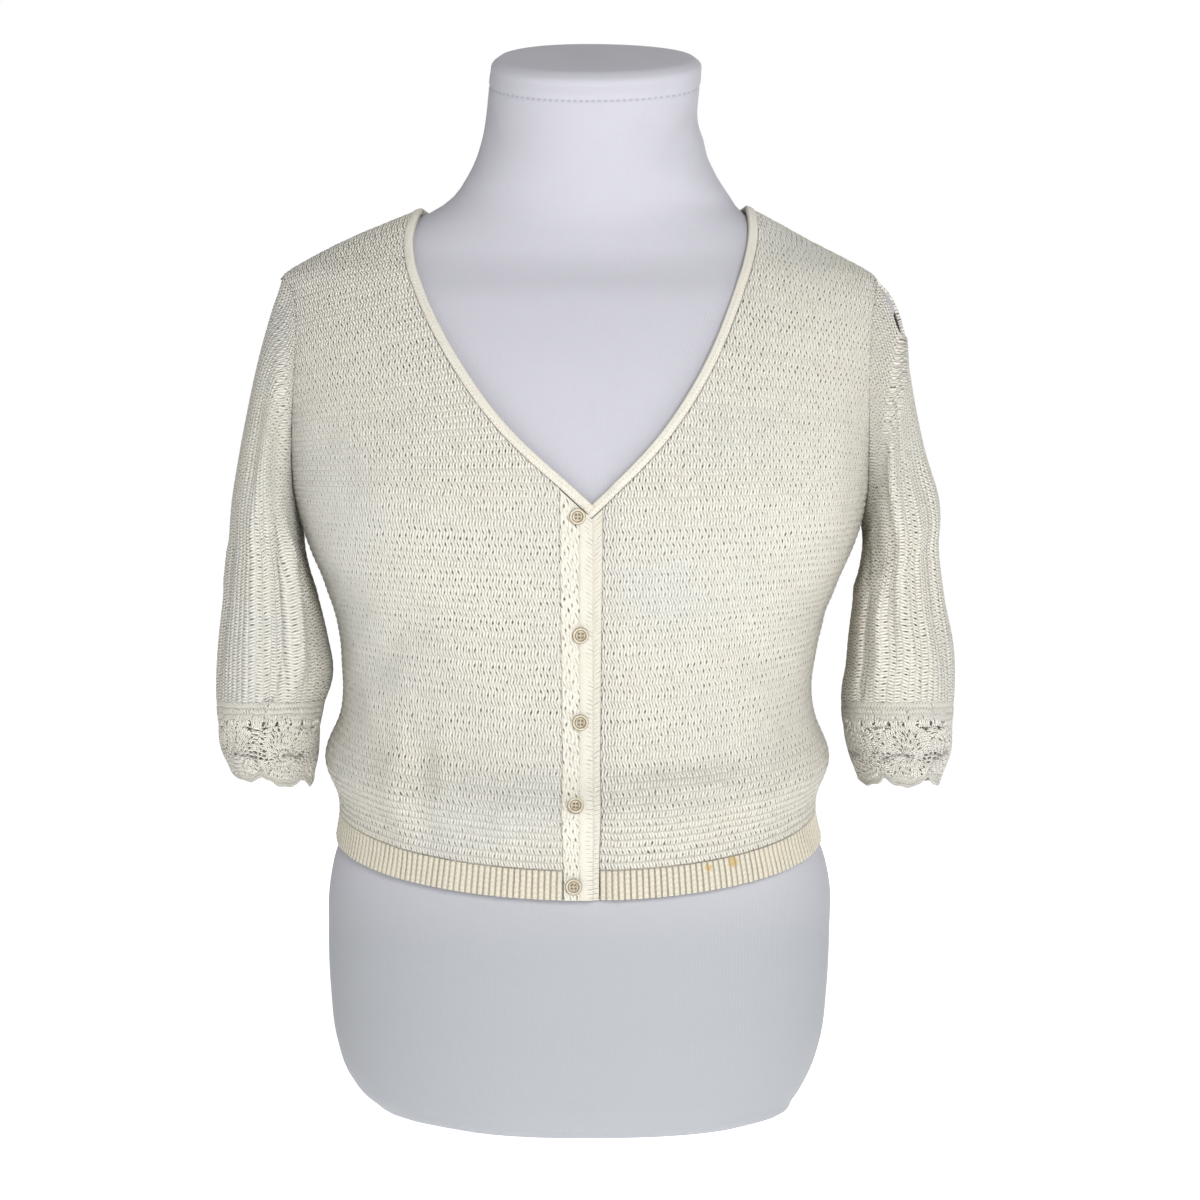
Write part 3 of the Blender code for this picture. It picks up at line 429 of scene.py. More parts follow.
def slit_opening(side, inboard):
    """How far the front's shoulder edge falls forward at a distance in from the tip."""
    share = np.clip(1 - inboard / SLIT_ON_SHOULDER, 0, 1)
    return SLIT_WIDTH[side] * share**1.5


def front_foot(side):
    """Angle where a front meets its band at the hem."""
    edge = OVER_EDGES[0] - CLEAR if side == "right" else UNDER_EDGES[1] + CLEAR
    return angle_at(edge, hem_height(0.0))


def folds_round(folds, turn, station):
    """Sum of soft folds on a sleeve, at turns round it and stations down it, in mm."""
    total = 0 * turn
    for s0, t0, s1, t1, width, rise in folds:
        middle = radians((t0 + t1) / 2)
        round_it = (np.mod(turn - middle + pi, 2 * pi) - pi) * SLEEVE_ROUND
        start, end = ((radians(t) - middle) * SLEEVE_ROUND for t in (t0, t1))
        total = total + creases(((start, s0, end, s1, width, rise),), round_it, station)
    return total


def sleeve_face(side):
    """Surface function of a sleeve: turn round it from the outer line, then station."""
    table = SLEEVE[side]
    sign = -1 if side == "right" else 1

    def plain(turn, station):
        outer_x, outer_z, inner_x, inner_z, front, back = (
            curve(table, column, station) for column in range(1, 7)
        )
        away, ahead = np.cos(turn), np.sin(turn)
        power = SLEEVE_SQUARENESS
        reach = (np.abs(away) ** power + np.abs(ahead) ** power) ** (-1 / power)
        away, ahead = away * reach, ahead * reach
        x = (outer_x + inner_x) / 2 + (outer_x - inner_x) / 2 * away
        z = (outer_z + inner_z) / 2 + (outer_z - inner_z) / 2 * away
        y = -ahead * np.where(ahead > 0, front, back)
        folds = folds_round(SLEEVE_FOLDS[side], turn, station)
        fade = np.clip(station / SLEEVE_HOLD, 0, 1)
        return np.stack((sign * (x + away * folds * fade), y - ahead * folds * fade, z), -1)

    def face(turn, station):
        points = plain(turn, station)
        loop = armhole(side, turn)
        seam = body(loop[..., 0], loop[..., 1])
        hold = np.clip(1 - station / SLEEVE_HOLD, 0, 1)[..., None] ** 1.5
        return points + (seam - plain(turn, 0 * station)) * hold

    return face


def sleeve_head(side, turn, normal):
    """First row of a sleeve, just clear of the armhole's edge, and its normals."""
    sign = -1 if side == "right" else 1
    loop = armhole(side, turn)
    seam = body(loop[:, 0], loop[:, 1])
    body_normal = facing(body, loop[:, 0], loop[:, 1])
    step = armhole(side, turn + 0.01)
    tangent = body(step[:, 0], step[:, 1]) - seam
    away = np.cross(body_normal, tangent) * sign
    away /= np.linalg.norm(away, axis=-1, keepdims=True)
    under_arm = np.maximum(0, -np.cos(turn))[:, None]
    head = seam + away * LAID_CLEAR + np.array((sign, 0, 0)) * CLEAR * under_arm
    share = np.clip((np.cos(turn) + 0.2) / 0.7, 0, 1)[:, None]
    mitred = body_normal * share + normal * (1 - share)
    return head, mitred / np.linalg.norm(mitred, axis=-1, keepdims=True)


# How far the open shoulder's front edge falls forward and down, and how wide the sleeve's
# slit gapes at a station, over a length, in mm.
SLIT_SHOWS = {"right": (3.0, 3.5), "left": (9.0, 4.5)}
SLEEVE_GAPE = {"right": (10.0, 10.0, 12.0), "left": (34.0, 18.0, 18.0)}


def neck_line(side, count):
    """Edge of the V from its foot to the shoulder, as evenly spread surface places."""
    table = NECK_RIGHT if side == "right" else NECK_LEFT
    turn = SHOULDER_SEAM - QUARTER if side == "right" else QUARTER - SHOULDER_SEAM
    top = float(NECK_POINT[side])
    end = float(body(np.array(turn), np.array(top))[0])
    rows = [(k, x, z) for k, (x, z) in enumerate((*table, (end, top)))]
    steps = np.linspace(0, len(rows) - 1, 481)
    seen = eased(np.stack((curve(rows, 1, steps), curve(rows, 2, steps)), -1), 48)
    line = np.array([(angle_at(x, z), z) for x, z in seen])
    line[-1] = turn, top
    return even(eased(even(line, 481), 8), count)


def eased(line, reach):
    """A line with its small waves smoothed out and its ends kept."""
    weights = np.exp(-(np.arange(-3 * reach, 3 * reach + 1) / reach) ** 2)
    weights /= weights.sum()
    before = 2 * line[0] - line[3 * reach:0:-1]
    after = 2 * line[-1] - line[-2:-3 * reach - 2:-1]
    padded = np.concatenate((before, line, after))
    return np.stack([np.convolve(padded[:, k], weights, "valid") for k in (0, 1)], -1)


def beside_neck(side, distance, count=241):
    """Line beside the V, ending on the shoulder seam."""
    line = neck_line(side, count)
    moved = beside(line, distance if side == "right" else -distance)
    moved[-1] = down_ridge(line[-1], distance)
    return moved


def back_neck_line(count):
    """Edge of the back neck from the right shoulder to the left one."""
    angle = np.linspace(-QUARTER - SHOULDER_SEAM, SHOULDER_SEAM - 3 * QUARTER, 481)
    end = np.where(angle > -pi, NECK_POINT["right"], NECK_POINT["left"])
    height = NECK_BACK + (end - NECK_BACK) * np.abs(np.sin(angle)) ** NECK_BACK_CURVE
    return even(np.stack((angle, height), -1), count)


def beside_back_neck(distance, count=281):
    """Line below the back neck's edge, between the shoulder seams."""
    line = back_neck_line(count)
    moved = beside(line, distance)
    for end in (0, -1):
        moved[end] = down_ridge(line[end], distance)
    return moved


def hem_line(first, last, columns):
    """Places along the hem between two angles, evenly spread."""
    angle = np.linspace(first, last, 241)
    return even(np.stack((angle, hem_height(angle)), -1), columns)


def upward(angle, low, high, steps):
    """Places straight up a line, without the last one."""
    height = np.linspace(low, high, steps + 1)[:-1]
    return np.stack((angle + 0 * height, height), -1)


def front_places(side, across, up):
    """Grid of places on a front: across cells, and up cells for each twentieth of it."""
    sign = -1 if side == "right" else 1
    edge = OVER_EDGES[0] - CLEAR if side == "right" else UNDER_EDGES[1] + CLEAR
    neck = beside_neck(side, EDGING_WIDTH + 2 * HALF_SEAM, 12 * up + 1)[up:]
    side_angle = sign * (QUARTER - SIDE_SEAM)
    ridge = np.linspace(neck[-1, 1], ARM_TOP, 61)
    inboard = (ridge - ARM_TOP) / np.sin(SHOULDER_SLOPE)
    falls = SHOULDER_SEAM + slit_opening(side, inboard) / curve(BODY, 3, ridge)
    share = np.clip(1 - inboard / SLIT_ON_SHOULDER, 0, 1)
    falls = falls + (SLIT_SHOWS[side][0] * share**1.5) / curve(BODY, 3, ridge)
    shoulder = np.stack((sign * (QUARTER - falls), ridge - SLIT_SHOWS[side][1] * share), -1)
    neck[-1] = shoulder[0]
    hem = hem_line(front_foot(side), side_angle, across + 1)
    hem[:, 1] += HALF_SEAM
    centre = upward(0, hem[0, 1], neck[0, 1], 9 * up)
    corner = body(*neck[0])[0]
    slant = edge + (corner - edge) * (centre[:, 1] - hem[0, 1]) / (neck[0, 1] - hem[0, 1])
    centre[:, 0] = [angle_at(x, z) for x, z in zip(slant, centre[:, 1])]
    loop = armhole(side, np.linspace(pi, 0, 10 * up + 1))
    loop[-1] = shoulder[-1]
    loop[0, 0] = side_angle
    outer = np.concatenate((upward(side_angle, hem[-1, 1], ARM_FOOT, 10 * up), loop))
    return patch(hem, even(shoulder, across + 1), np.concatenate((centre, neck)), outer)


def back_places(along, up):
    """Grid of places on the back: cells for each twentieth of it, along and up."""
    first, last = -QUARTER - SIDE_SEAM, SIDE_SEAM - 3 * QUARTER
    hem = hem_line(first, last, 20 * along + 1)
    hem[:, 1] += HALF_SEAM
    neck = beside_back_neck(EDGING_WIDTH + 2 * HALF_SEAM, 14 * along + 1)
    ridges = []
    for angle, end in ((-QUARTER - SHOULDER_SEAM, neck[0]), (SHOULDER_SEAM - 3 * QUARTER, neck[-1])):
        ridges.append(upward(angle, ARM_TOP, end[1], 3 * along))
    top = np.concatenate((ridges[0], neck, ridges[1][::-1]))
    borders = []
    for side, angle, tip in (("right", first, top[0]), ("left", last, top[-1])):
        loop = armhole(side, np.linspace(-pi, 0, 10 * up + 1))
        loop[:, 0] -= 2 * pi if side == "left" else 0
        loop[0, 0] = angle
        loop[-1] = tip
        seam = upward(angle, hem_height(angle) + HALF_SEAM, ARM_FOOT, 10 * up)
        borders.append(np.concatenate((seam, loop)))
    return patch(hem, top, *borders, late=(6, 2))


def read_table(table, columns, rows, at_column, at_row):
    """Value of an even table between its columns and rows."""
    c = np.clip((at_column - columns[0]) / (columns[1] - columns[0]), 0, len(columns) - 1.001)
    r = np.clip((at_row - rows[0]) / (rows[1] - rows[0]), 0, len(rows) - 1.001)
    ci, ri = c.astype(int), r.astype(int)
    c, r = c - ci, r - ri
    low = table[ri, ci] * (1 - c) + table[ri, ci + 1] * c
    high = table[ri + 1, ci] * (1 - c) + table[ri + 1, ci + 1] * c
    return low * (1 - r) + high * r


def stitch_places(places, centre):
    """How far each place lies round the body from a centre line and up from the hem, in mm."""
    angle, height = places[..., 0] - centre, places[..., 1]
    turns = np.linspace(0, QUARTER + 0.05, 93)
    heights = np.linspace(150, 640, 99)
    out = np.zeros(angle.shape)
    for sign in (-1, 1):
        points = body(centre + sign * turns[None], heights[:, None])
        lengths = run_along(points)
        here = angle * sign >= 0
        out = np.where(here, sign * read_table(lengths, turns, heights, np.abs(angle), height), out)
    up = np.interp(height, heights, run_along(body(centre + 0.6, heights)))
    lift = hem_height(places[..., 0]) - hem_height(centre)
    follow = np.clip(1.1 - (height - 180) / 320, 0.12, 1)
    tilt = SHOULDER_SLOPE * np.clip((height - 430) / 170, 0, 1)
    return out, up - lift * follow + tilt * np.maximum(0, np.abs(out) - 45)


def loop_relief(u, v):
    """Rows of small leaning strokes with a dimple between each pair, about 0 to 1."""
    row = np.floor(v)
    odd = np.mod(row, 2)
    f = v - row - 0.5
    g = u + 0.12 * odd + (0.30 - 0.50 * odd) * f
    wall = 0.5 - np.abs(g - np.floor(g) - 0.5)
    dimple = np.exp(-(wall / 0.17) ** 2) * np.exp(-(f / 0.38) ** 2)
    return np.clip(np.cos(pi * f), 0, 1) ** 0.6 - 0.35 * dimple


def unevenness(u, v):
    """Slow waves of hand-guided tension over the rows, about -1 to 1."""
    return (0.5 * np.sin(v * 0.9 + 0.6 * np.sin(u * 0.11)) * np.sin(v * 0.23 + 1.3)
            + 0.3 * np.sin(u * 0.37 + v * 0.19) + 0.2 * np.sin(u * 0.83 - v * 0.41 + 2))


def deselect():
    """Leave nothing selected."""
    bpy.ops.object.select_all(action="DESELECT")


def shell(name, outer, inner, stitches, joined_from=None):
    """Closed cloth with a fine face, a coarser inside and edges between, from grids in mm.

    stitches are the stitch counts across and up, which become the piece's UV map, and
    joined_from is the row from which the last column is the first one again.
    """
    rows, columns = outer.shape[:2]
    face_id = np.arange(rows * columns).reshape(rows, columns)
    inside = inner[::INNER_STEP, ::INNER_STEP]
    back_id = rows * columns + np.arange(inside.shape[0] * inside.shape[1]).reshape(inside.shape[:2])
    points = np.concatenate((outer.reshape(-1, 3), inside.reshape(-1, 3))) * MM
    marks = np.stack(stitches, -1)
    marks = np.concatenate((marks.reshape(-1, 2), marks[::INNER_STEP, ::INNER_STEP].reshape(-1, 2)))
    quads = np.stack((face_id[:-1, :-1], face_id[:-1, 1:], face_id[1:, 1:], face_id[1:, :-1]), -1)
    rear = np.stack((back_id[:-1, :-1], back_id[1:, :-1], back_id[1:, 1:], back_id[:-1, 1:]), -1)
    faces = quads.reshape(-1, 4).tolist() + rear.reshape(-1, 4).tolist()
    edges = [(face_id[0, ::-1], back_id[0, ::-1]), (face_id[-1], back_id[-1])]
    open_rows = rows if joined_from is None else joined_from + 1
    kept = (open_rows - 1) // INNER_STEP + 1
    edges.append((face_id[:open_rows, 0], back_id[:kept, 0]))
    edges.append((face_id[:open_rows, -1][::-1], back_id[:kept, -1][::-1]))
    for front, behind in edges:
        for k in range(len(behind) - 1):
            fine = front[k * INNER_STEP:(k + 1) * INNER_STEP + 1]
            faces.append([*fine.tolist(), int(behind[k + 1]), int(behind[k])])
    same = np.arange(len(points))
    if joined_from is not None:
        same[face_id[joined_from:, -1]] = face_id[joined_from:, 0]
        low = joined_from // INNER_STEP
        same[back_id[low:, -1]] = back_id[low:, 0]
    used, packed = np.unique(same, return_inverse=True)
    mesh = bpy.data.meshes.new(name)
    mesh.from_pydata(points[used].tolist(), [], [[int(packed[i]) for i in face] for face in faces])
    layer = mesh.uv_layers.new(name="stitches")
    loops = np.concatenate([np.array(face) for face in faces])
    layer.data.foreach_set("uv", marks[loops].astype(np.float32).ravel())
    return placed(name, mesh)


def placed(name, mesh):
    """Put a finished mesh in the scene, smooth and facing outwards."""
    work = bmesh.new()
    work.from_mesh(mesh)
    if work.calc_volume(signed=True) < 0:
        bmesh.ops.reverse_faces(work, faces=work.faces)
    work.to_mesh(mesh)
    work.free()
    mesh.shade_smooth()
    piece = bpy.data.objects.new(name, mesh)
    bpy.context.scene.collection.objects.link(piece)
    return piece


def under_step(face):
    """How far the button side lies under the buttonhole side."""
    ramp = np.clip((face[..., 0] - UNDER_RAMP[0]) / (UNDER_RAMP[1] - UNDER_RAMP[0]), 0, 1)
    return UNDER_STEP * (1 - ramp * ramp * (3 - 2 * ramp))


def cloth_on_body(name, places, relief, wall, stitches, under=False):
    """Closed cloth on the body: relief is how far its face stands out, in mm."""
    angle, height = places[..., 0], places[..., 1]
    face = body(angle, height)
    normal = facing(body, angle, height)
    if under:
        face = face - normal * under_step(face)[..., None]
    return shell(name, face + normal * relief[..., None], face - normal * wall, stitches)


SOFT_FOLDS = (
    # x start, height start, x end, height end, width, rise
    (-122, 290, -106, 238, 6, -2.4),
    (-101, 292, -93, 234, 8, 1.6),
    (-146, 300, -128, 236, 9, 2.0),
    (142, 292, 122, 226, 7, -2.2),
    (158, 292, 141, 224, 8, 1.8),
    (34, 248, 98, 251, 6, -1.4),
    (38, 236, 102, 232, 6, 1.3),
    (60, 224, 120, 232, 5, -1.0),
    (-92, 224, -40, 212, 5, -1.0),
    (-60, 260, -20, 256, 6, 0.8),
    (178, 398, 120, 372, 6, -1.6),
    (176, 382, 124, 350, 6, 1.3),
    (170, 352, 118, 326, 6, -1.5),
    (-184, 404, -128, 384, 6, -1.5),
    (-182, 388, -130, 360, 6, 1.2),
    (-168, 356, -120, 336, 6, -1.4),
    (-150, 520, -120, 470, 12, -0.9),
    (150, 524, 118, 474, 12, -0.9),
)


def knit_relief(u, v, depth):
    """Face of the knit: stitches, and a slow unevenness of the rows, in mm."""
    return depth * (loop_relief(u, v) - 0.6) + 0.25 * depth * unevenness(u, v)


def finish(piece, material, slot, *nodes):
    """Give a piece its material, its body and the CAD nodes it stands for."""
    piece.data.materials.clear()
    piece.data.materials.append(material)
    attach(piece, "root")
    if nodes:
        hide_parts(*nodes)
    return piece


def ribbed(name, first, last, under=False):
    """Run of the hem rib between two angles: rounded ribs over a plain inside."""
    line = hem_line(first, last, 241)
    run = run_along(body(line[:, 0], line[:, 1]))
    ribs = int(round(run[-1] / (sizes().rib_pitch / MM)))
    spread = np.linspace(0, run[-1], 10 * ribs + 1)
    top = np.interp(spread, run, line[:, 1]) - HALF_SEAM
    down = np.linspace(1, 0, 21)[:, None]
    angle = np.repeat(np.interp(spread, run, line[:, 0])[None], 21, 0)
    height = top[None] - RIB_DEPTH * down
    rib = np.repeat(np.linspace(0, ribs, 10 * ribs + 1)[None], 21, 0)
    row = RIB_DEPTH * (1 - down) / 3.3 + 0 * rib
    crown = np.abs(np.sin(pi * rib)) ** 0.55
    relief = crown - 1 + 0.16 * crown * np.cos(2 * pi * row + 2 * np.floor(rib))
    relief = relief + 0.25 * np.sin(rib * 0.7 + 1.1 * np.sin(rib * 0.13)) * down
    places = np.stack((angle, height), -1)
    return cloth_on_body(name, places, relief, 2.7, (rib, row), under)


def band_places(side, across, up):
    """Grid of surface places for a front band, from the rib's edge to the V."""
    sign = -1 if side == "right" else 1
    edges = OVER_EDGES if side == "right" else UNDER_EDGES
    neck = beside_neck(side, EDGING_WIDTH + 4 * HALF_SEAM)
    points = body(neck[:21, 0], neck[:21, 1])
    slope = (points[20, 2] - points[0, 2]) / (points[20, 0] - points[0, 0])
    corner = points[20, 0] - 2 * HALF_SEAM * sign
    foot = hem_height(0.0) - RIB_DEPTH - HALF_SEAM
    share = np.linspace(0, 1, up + 1)
    grid = []
    for x in np.linspace(*edges, across + 1):
        outer = (x - edges[0]) / (edges[1] - edges[0])
        outer = 1 - outer if side == "right" else outer
        head_x = x + (corner - edges[0 if side == "right" else 1]) * max(0, outer - 0.5) * 2
        head = points[0, 2] + slope * (head_x - points[0, 0])
        heights = foot + (head - foot) * share
        grid.append([(angle_at(x + (head_x - x) * s, z), z) for s, z in zip(share, heights)])
    return np.swapaxes(np.array(grid), 0, 1)


def edging_places(line_at, across):
    """Grid of surface places for an edging; line_at gives a line by its distance."""
    return np.stack([line_at(d) for d in np.linspace(0, EDGING_WIDTH, across + 1)], 1)


def trim_piece(name, places, crown, pitch, under=False):
    """Band or edging: a rounded strip with rows of small crocheted stitches across it.

    A crown of None is the buttonhole band, which is flat knit with a rolled free edge.
    """
    columns = places.shape[1]
    run = run_along(body(places[:, columns // 2, 0], places[:, columns // 2, 1]))
    across = np.linspace(-1, 1, columns)[None]
    v = run[:, None] / pitch + 0 * across
    u = across + 0 * v
    if crown is None:
        dome = 0.62 * np.exp(-((across - 0.58) / 0.34) ** 4)
        dome = dome - 0.25 * np.exp(-((across - 0.08) / 0.1) ** 2)
        dome = dome + 0.15 * np.sin(v * 0.21) + 0.12 * np.sin(v * 0.53 + 1)
    else:
        dome = crown * (np.sqrt(np.clip(1 - 0.85 * across**2, 0, 1)) - 0.4) / 0.6
    wave = 0.09 * np.cos(2 * pi * (v + 0.25 * across)) * (0.4 + 0.6 * np.abs(across))
    return cloth_on_body(name, places, TRIM_RISE - 0.35 + dome + wave, TRIM, (u, v), under)


SLEEVE_START = 1.4               # first station, just clear of the armhole
SLEEVE_TOP = 600                 # height from which its stitches are counted down
SLEEVE_DEPTH = 0.6               # its stitches stand out less than the panels'
SLEEVE_HEAD = 18                 # it leaves the armhole's edge over this length
SLEEVE_CREASES = {               # narrow creases and rolls
    "right": (
        # station start, turn start, station end, turn end, width, rise; turns in degrees
        (60, 101, 238, 97, 5.4, -9.0),
        (76, 121, 232, 118, 8.5, 6.5),
        (70, 76, 232, 74, 8.0, 3.0),
        (14, 84, 70, 98, 5.0, -3.2),
        (130, 38, 226, 32, 6.0, -3.2),
        (96, 150, 150, 140, 4.0, -2.4),
        (150, 300, 226, 306, 7.0, -3.0),
        (60, 210, 190, 204, 6.0, -3.0),
    ),
    "left": (
        (12, 84, 212, 74, 4.8, -7.0),
        (40, 98, 196, 92, 7.0, 4.0),
        (140, 140, 234, 139, 4.6, -6.5),
        (146, 120, 232, 119, 6.5, 3.0),
        (90, 48, 226, 42, 6.0, -3.0),
        (50, 160, 120, 146, 5.0, -2.6),
        (150, 300, 226, 296, 7.0, -3.0),
        (60, 206, 190, 212, 6.0, -3.0),
    ),
}


def sleeve(side):
    """Sleeve tube, slit along its outer line from the shoulder down."""
    sign = -1 if side == "right" else 1
    face = sleeve_face(side)
    slit_rows, around = 100, 240
    slit = np.linspace(SLEEVE_START, SLIT_ON_SLEEVE, slit_rows + 1)
    closed = np.linspace(SLIT_ON_SLEEVE, CUFF_STATION - HALF_SEAM, 61)
    station = np.concatenate((slit, closed[1:]))[:, None]
    turn = np.linspace(0, 2 * pi, around + 1) + 0 * station
    share = np.clip(1 - station / SLIT_ON_SLEEVE, 0, 1)
    opening = (share > 0) * (HALF_SEAM + SLIT_WIDTH[side] * np.sqrt(share)) / SLEEVE_ROUND
    wide, at, reach = SLEEVE_GAPE[side]
    opening = opening + wide * np.exp(-((station - at) / reach) ** 2) * (share > 0) / SLEEVE_ROUND
    closing = (share > 0) * HALF_SEAM / SLEEVE_ROUND
    turn = opening + (2 * pi - opening - closing) * turn / (2 * pi)
    station = station + 0 * turn
    points = face(turn, station)
    normal = sign * facing(face, turn, station)
    head, mitred = sleeve_head(side, turn[0], normal[0])
    fade = np.clip(1 - (station - SLEEVE_START) / SLEEVE_HEAD, 0, 1)[..., None] ** 2
    points = points + (head - points[0])[None] * fade
    normal = normal + (mitred - normal[0])[None] * fade
    normal /= np.linalg.norm(normal, axis=-1, keepdims=True)
    u = (SLEEVE_TOP - points[..., 2]) / (sizes().stitch_width / MM)
    v = run_along(points) / (sizes().stitch_height / MM)
    relief = knit_relief(u, v, sizes().stitch_depth / MM * SLEEVE_DEPTH)
    relief = relief + folds_round(SLEEVE_CREASES[side], turn, station)
    outer = points + normal * relief[..., None]
    return shell("knit_sleeve_" + side, outer, points - normal * KNIT, (u, v), slit_rows)


RING = 2 * pi * SLEEVE_ROUND     # length of a round of the cuff, in mm
FLOWER_WIDE = RING / MEDALLIONS
FLOWER_HALF = FLOWER_WIDE / 2 - 0.3
FLOWER_CENTRE = 36.5
FLOWER_TOP = 20.3
FLOWER_LOW = 18.2


def crochet(name, rounds, place):
    """Lace of crocheted rounds: posts stand between open cells, and borders overlap.

    Each round is (near line, far line, open shares, way round), with flat places in mm; the
    way round is None for an open strip, 0 for a ring on the face and else its length.
    """
    points, marks, faces = [], [], []
    total = 0
    for number, (near, far, shares, ring) in enumerate(rounds):
        count = len(near)
        cells = count - 1 if ring is None else count
        c = np.arange(cells)
        d = (c + 1) % count
        wrap = np.where(d < c, ring or 0.0, 0.0)[:, None] * (1.0, 0.0)
        corners = np.stack((near[c], near[d] + wrap, far[d] + wrap, far[c]), 1)
        middle = corners.mean(1, keepdims=True)
        side = (corners[:, 1] + corners[:, 2] - corners[:, 0] - corners[:, 3]) / 4
        rise = (corners[:, 2] + corners[:, 3] - corners[:, 0] - corners[:, 1]) / 4
        steps = np.array(((-1, -1), (1, -1), (1, 1), (-1, 1)))
        hole = middle + side[:, None] * shares[:, None, :1] * steps[None, :, :1]
        hole = hole + rise[:, None] * shares[:, None, 1:] * steps[None, :, 1:]
        hole = hole.reshape(-1, 2)
        flat = np.concatenate((near, far, near, far, hole, hole))
        lift = np.repeat((0.55, 0.45, -LACE, -LACE, 0.10, -LACE + 0.3),
                         (count, count, count, count, len(hole), len(hole)))
        points.append(place(flat, lift))
        post = np.arange(count)
        low, high = np.stack((post, 0 * post), -1), np.stack((post, 0 * post + 1), -1)
        share = shares[:, None] * steps[None] * 0.5 + 0.5
        share = (share + np.stack((c, 0 * c), -1)[:, None]).reshape(-1, 2)
        marks.append(np.concatenate((low, high, low, high, share, share)) + (0, 2 * number))
        nf, ff, nb, fb = (total + k * count for k in range(4))
        h, b = total + 4 * count, total + 4 * count + 4 * cells
        total += len(flat)
        for k, m in zip(c.tolist(), d.tolist()):
            front = (nf + k, nf + m, ff + m, ff + k)
            rear = (nb + k, nb + m, fb + m, fb + k)
            if shares[k, 0] > 0:
                cut = [h + 4 * k + i for i in range(4)]
                behind = [b + 4 * k + i for i in range(4)]
                for i in range(4):
                    n = (i + 1) % 4
                    faces.append((front[i], front[n], cut[n], cut[i]))
                    faces.append((rear[n], rear[i], behind[i], behind[n]))
                    faces.append((cut[i], cut[n], behind[n], behind[i]))
            else:
                faces += [front, rear[::-1]]
            faces += [(nf + m, nf + k, nb + k, nb + m), (ff + k, ff + m, fb + m, fb + k)]
        if ring is None:
            faces += [(nf, ff, fb, nb), (ff + cells, nf + cells, nb + cells, fb + cells)]
    mesh = bpy.data.meshes.new(name)
    mesh.from_pydata((np.concatenate(points) * MM).tolist(), [], faces)
    layer = mesh.uv_layers.new(name="stitches")
    order = np.concatenate([np.array(face) for face in faces])
    layer.data.foreach_set("uv", np.concatenate(marks)[order].astype(np.float32).ravel())
    piece = placed(name, mesh)
    used = set(order.tolist())
    if len(used) < len(mesh.vertices):
        work = bmesh.new()
        work.from_mesh(mesh)
        bmesh.ops.delete(work, geom=[v for v in work.verts if not v.link_faces], context="VERTS")
        work.to_mesh(mesh)
        work.free()
    return subdivided(piece, 1)


def subdivided(piece, levels):
    """Round a piece off with an applied subdivision."""
    deselect()
    bpy.context.view_layer.objects.active = piece
    piece.select_set(True)
    smooth = piece.modifiers.new("round", "SUBSURF")
    smooth.levels = smooth.render_levels = levels
    bpy.ops.object.modifier_apply(modifier=smooth.name)
    piece.select_set(False)
    return piece


def flower_ring(centre, share, cells, turned=0.0):
    """Places round a medallion: a rounded oblong that fills its cell as it grows."""
    turns = np.linspace(0, 2 * pi, cells, endpoint=False) + turned
    across, down = np.cos(turns), np.sin(turns)
    power = 2 + 1.1 * share
    reach = (np.abs(across) ** power + np.abs(down) ** power) ** (-1 / power)
    reach = reach * (1 + 0.10 * share * (1 - share) * 4 * np.cos(8 * (turns - turned)))
    tall = np.where(down > 0, FLOWER_LOW, FLOWER_TOP)
    return np.stack((centre[0] + FLOWER_HALF * share * across * reach,
                     centre[1] + tall * share * down * reach), -1)


def scallop(across, side):
    """Length of the cuff's cloth at a place round it, in mm."""
    low = CUFF_STATION + HALF_SEAM
    phase = across / SLEEVE_ROUND - 2 * pi / MEDALLIONS * FLOWER_SHIFT[side] / FLOWER_CELLS
    return CUFF_END - SCALLOP - low + SCALLOP * np.abs(np.sin(MEDALLIONS / 2 * phase)) ** 0.6


